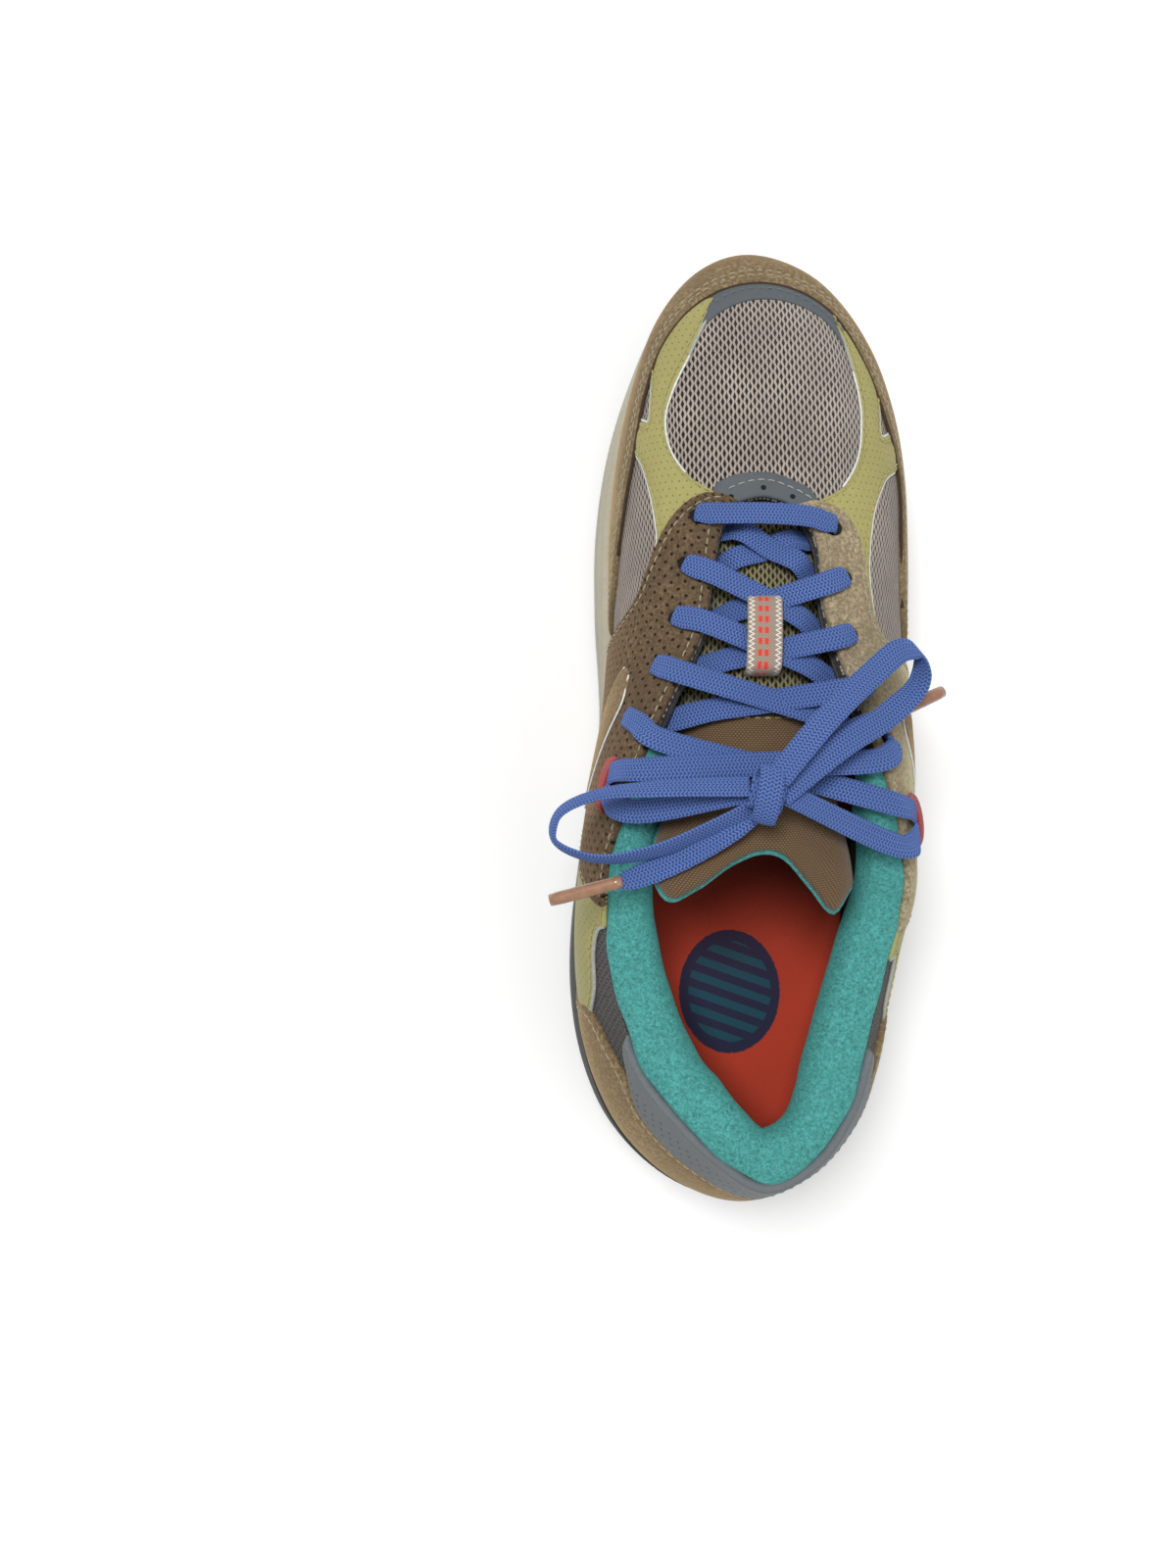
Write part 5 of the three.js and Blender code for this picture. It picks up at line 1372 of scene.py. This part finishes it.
def strap(name, start, end, lift, from_under=False):
    """From one eyelet over the throat's edge, across, and under the other edge to the next eyelet."""
    heelward = 0.12 if start[0] < STATIONS / 2 else -0.12
    far_under = lifted(end[0] - heelward * 1.7, 1.0, LACE_UNDER)
    if from_under:
        near = lifted(start[0] + heelward * 0.6, 1.0, LACE_UNDER + 0.5)
        keys = [(lifted(start[0], start[1], LACE_UNDER), 4.4, normal(*start)), (near, LACE_WIDE, LACE_FACE)]
        rises = (0.2, 0.5, 0.8)
    else:
        near = over_edge(start[0] - heelward)
        keys = eyelet_keys(start, near) + [(near, LACE_WIDE, normal(start[0] - heelward, 0.95) + LACE_FACE)]
        rises = (0.5, 0.8)
    for share in rises:
        level = lift + (0 if share == 0.5 else 1.1) + (1.6 if from_under else 0)
        keys.append((near + (far_under - near) * share + LACE_FACE * level, LACE_WIDE, LACE_FACE))
    keys += [(far_under, LACE_WIDE, LACE_FACE), (lifted(end[0], end[1], LACE_UNDER), 4.4, normal(*end))]
    return ribbon(name, keys)


KNOT = np.array([-4.5, -21.5, 117.5])
KEEPERS = {"lateral": (7.25, 0.84), "medial": (24.75, 0.8)}


def last_strap(name, start, side, lift, ends_at):
    s, t = KEEPERS[side]
    step = 0.3 if side == "lateral" else -0.3
    up = np.array([0, 0, 1.0])

    def rim(at, high):
        return surface(at, 1.0) + up * high

    away, near = rim(start[0] + step, 5.5), rim(s + step, 7.2)
    out = normal(s, t)
    keys = eyelet_keys(start, away)[:3] + [
        (lifted(start[0] + step / 2, 0.93, LACE_TOP + 1.3), 6.6, normal(start[0], 0.93)),
        (away, LACE_WIDE, LACE_FACE),
        ((away + near) / 2 + up * lift, LACE_WIDE, LACE_FACE),
        (near, LACE_WIDE, LACE_FACE),
        (lifted(s + step * 0.6, t + 0.07, LACE_TOP + 1.2), 6.4, out),
        (lifted(s, t - 0.035, LACE_TOP + 0.2), 6.0, out),
        (lifted(s - step * 0.6, t + 0.07, LACE_TOP + 1.2), 6.4, out),
        (rim(s - step * 1.2, 7.4), LACE_WIDE, LACE_FACE),
        (ends_at, 6.4, LACE_FACE),
    ]
    return ribbon(name, keys)


def build_lace():
    medial, lateral = EYELETS["medial"], EYELETS["lateral"]
    pieces = []
    left, right = over_edge(19.25), over_edge(12.75)
    bar = eyelet_keys(medial[0], left) + [(p, LACE_WIDE, LACE_FACE) for p in (left, (0.5, 60, 84.6), right)]
    bar += eyelet_keys(lateral[0], right)[::-1]
    pieces.append(ribbon("lace_bar", bar))
    for k in range(4):
        pieces.append(strap(f"lace_strap_medial_{k + 1}", medial[k], lateral[k + 1], 2.6, k == 0))
        pieces.append(strap(f"lace_strap_lateral_{k + 1}", lateral[k], medial[k + 1], 1.2, k == 0))
    pieces.append(last_strap("lace_last_lateral", medial[4], "lateral", 0.0, KNOT + [4, 1, -2]))
    pieces.append(last_strap("lace_last_medial", lateral[4], "medial", 1.2, KNOT + [-4, 1, -2]))
    # The half knot: one turn of the lace round the loops' roots.
    lean = np.array([0.24, 1.0, 0.1])
    tall = unit(lean)
    forward = unit(np.cross(tall, [0, 0, 1.0]))
    keys = []
    for turn in np.linspace(math.radians(-115), math.radians(245), 15):
        offset = tall * 7.2 * math.cos(turn) + np.array([0, 0, 1.0]) * 4.4 * math.sin(turn)
        keys.append((KNOT + offset + forward * (turn - 1.1) * 0.35, 6.6, unit(offset)))
    pieces.append(ribbon("lace_knot_turn", keys, cup=0.25))
    keys = [(KNOT + forward * k + [0, 0, -0.6], 8.6, (0, 0, 1)) for k in (-4.5, -2, 0, 2, 4.5)]
    pieces.append(ribbon("lace_knot_core", keys, thick=5.2, cup=0.0))
    for piece in pieces:
        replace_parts(piece, "shoelace")


BOWS = {
    "lateral": {
        "loop": [(-2, -17, 119), (12, -1, 115), (25, 11, 109), (35, 18.5, 103.5), (40, 17.8, 100.5), (40.5, 10, 100),
                 (31, 0.5, 103.5), (17, -8, 110), (-1, -21.5, 116)],
        "loop_face": [(-0.2, 0.3, 1), (-0.2, 0.25, 1), (-0.1, 0.2, 1), (0.35, 0.5, 0.85), (0.95, 0.4, 0.1),
                      (0.7, -0.2, -0.7), (0.1, -0.2, -1), (0, -0.2, -1), (0, -0.2, -1)],
        "tail": [(10, -13, 111), (22, -4, 105), (33, 0.5, 98)],
        "tip": (52, 9, 89), "tail_face": (0.1, 0.1, 1), "tail_wide": LACE_WIDE,
    },
    "medial": {
        "loop": [(-9, -19, 117.5), (-32, -19.5, 115), (-50, -21.5, 108), (-60, -27, 103), (-61, -34, 102),
                 (-50, -39, 105), (-34, -37, 109.5), (-16, -29.5, 112.5), (-7, -25.5, 114.5)],
        "loop_face": [(0.1, 0.75, 0.75), (0, 0.8, 0.6), (-0.2, 0.9, 0.4), (-0.8, 0.6, 0.3), (-0.9, -0.5, 0.15),
                      (-0.2, -0.9, 0.3), (0.1, -0.85, 0.5), (0.2, -0.75, 0.6), (0.2, -0.5, 0.8)],
        "tail": [(-13, -30.5, 111.5), (-28, -39.5, 107.5), (-43.5, -45.5, 104)],
        "tip": (-63, -51, 100), "tail_face": (0.15, 0.35, 1), "tail_wide": 6.8,
    },
}


def build_bows():
    for side, bow in BOWS.items():
        loop, tail_face, width = bow["loop"], bow["tail_face"], bow["tail_wide"]
        keys = [(p, LACE_WIDE, f) for p, f in zip(loop, bow["loop_face"])]
        tail = [np.array(p, float) for p in bow["tail"]]
        way = unit(np.array(bow["tip"]) - tail[-1])
        tail_keys = [(tail[0], width, tail_face), (tail[1], width, tail_face), (tail[2] - way * 4, 6.0, tail_face),
                     (tail[2], 3.6, tail_face)]
        loop_piece = ribbon(f"lace_loop_{side}", keys, cup=0.25)
        root = (np.array(loop[-1]) - [0, 0, 1.2], 6.2, tail_face)
        tail_piece = ribbon(f"lace_tail_{side}", [root] + tail_keys, cup=0.25)
        join(loop_piece, tail_piece)
        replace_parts(loop_piece, "lace_end_" + side)
        start = tail[-1] - way * 1.5
        film = np.array([1.75, *[1.85, 1.8] * 5, 1.7])
        places = [start + way * k for k in np.linspace(0, 21, len(film))]
        aglet = tube(f"aglet_film_{side}", places, film, "aglet", sides=20, squash=0.9)
        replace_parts(aglet, "aglet_" + side)


def build_trim():
    for side, (s, t) in KEEPERS.items():
        out = normal(s, t)
        keys = [(lifted(s + ds, t, 1.5 + high), 5.0, out) for ds, high in
                ((-0.42, 0.9), (-0.36, 2.0), (-0.18, 2.8), (0.18, 2.8), (0.36, 2.0), (0.42, 0.9))]
        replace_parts(ribbon("red_loop_" + side, keys, "webbing", 1.0, pitch=0.7, cup=0.0), "webbing_loop_" + side)
    heights = [
        (35.5, 5.0, (0, 1, 0.3)), (34.2, 8.2, (0, 0.6, 0.8)), (30, 9.3, LACE_FACE), (24, 9.6, LACE_FACE),
        (18, 9.6, LACE_FACE), (14.4, 8.6, (0, -0.3, 1)), (13.0, 6.0, (0, -1, 0.5)), (12.6, 2.5, (0, -1, 0.1)),
    ]
    keys = [(on_tongue(y, 0.0, -high), 10.0, face) for y, high, face in heights]
    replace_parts(ribbon("woven_label", keys, "label", 1.0, pitch=0.7, cup=0.0), "tongue_label")


build_lace()
build_bows()
build_trim()
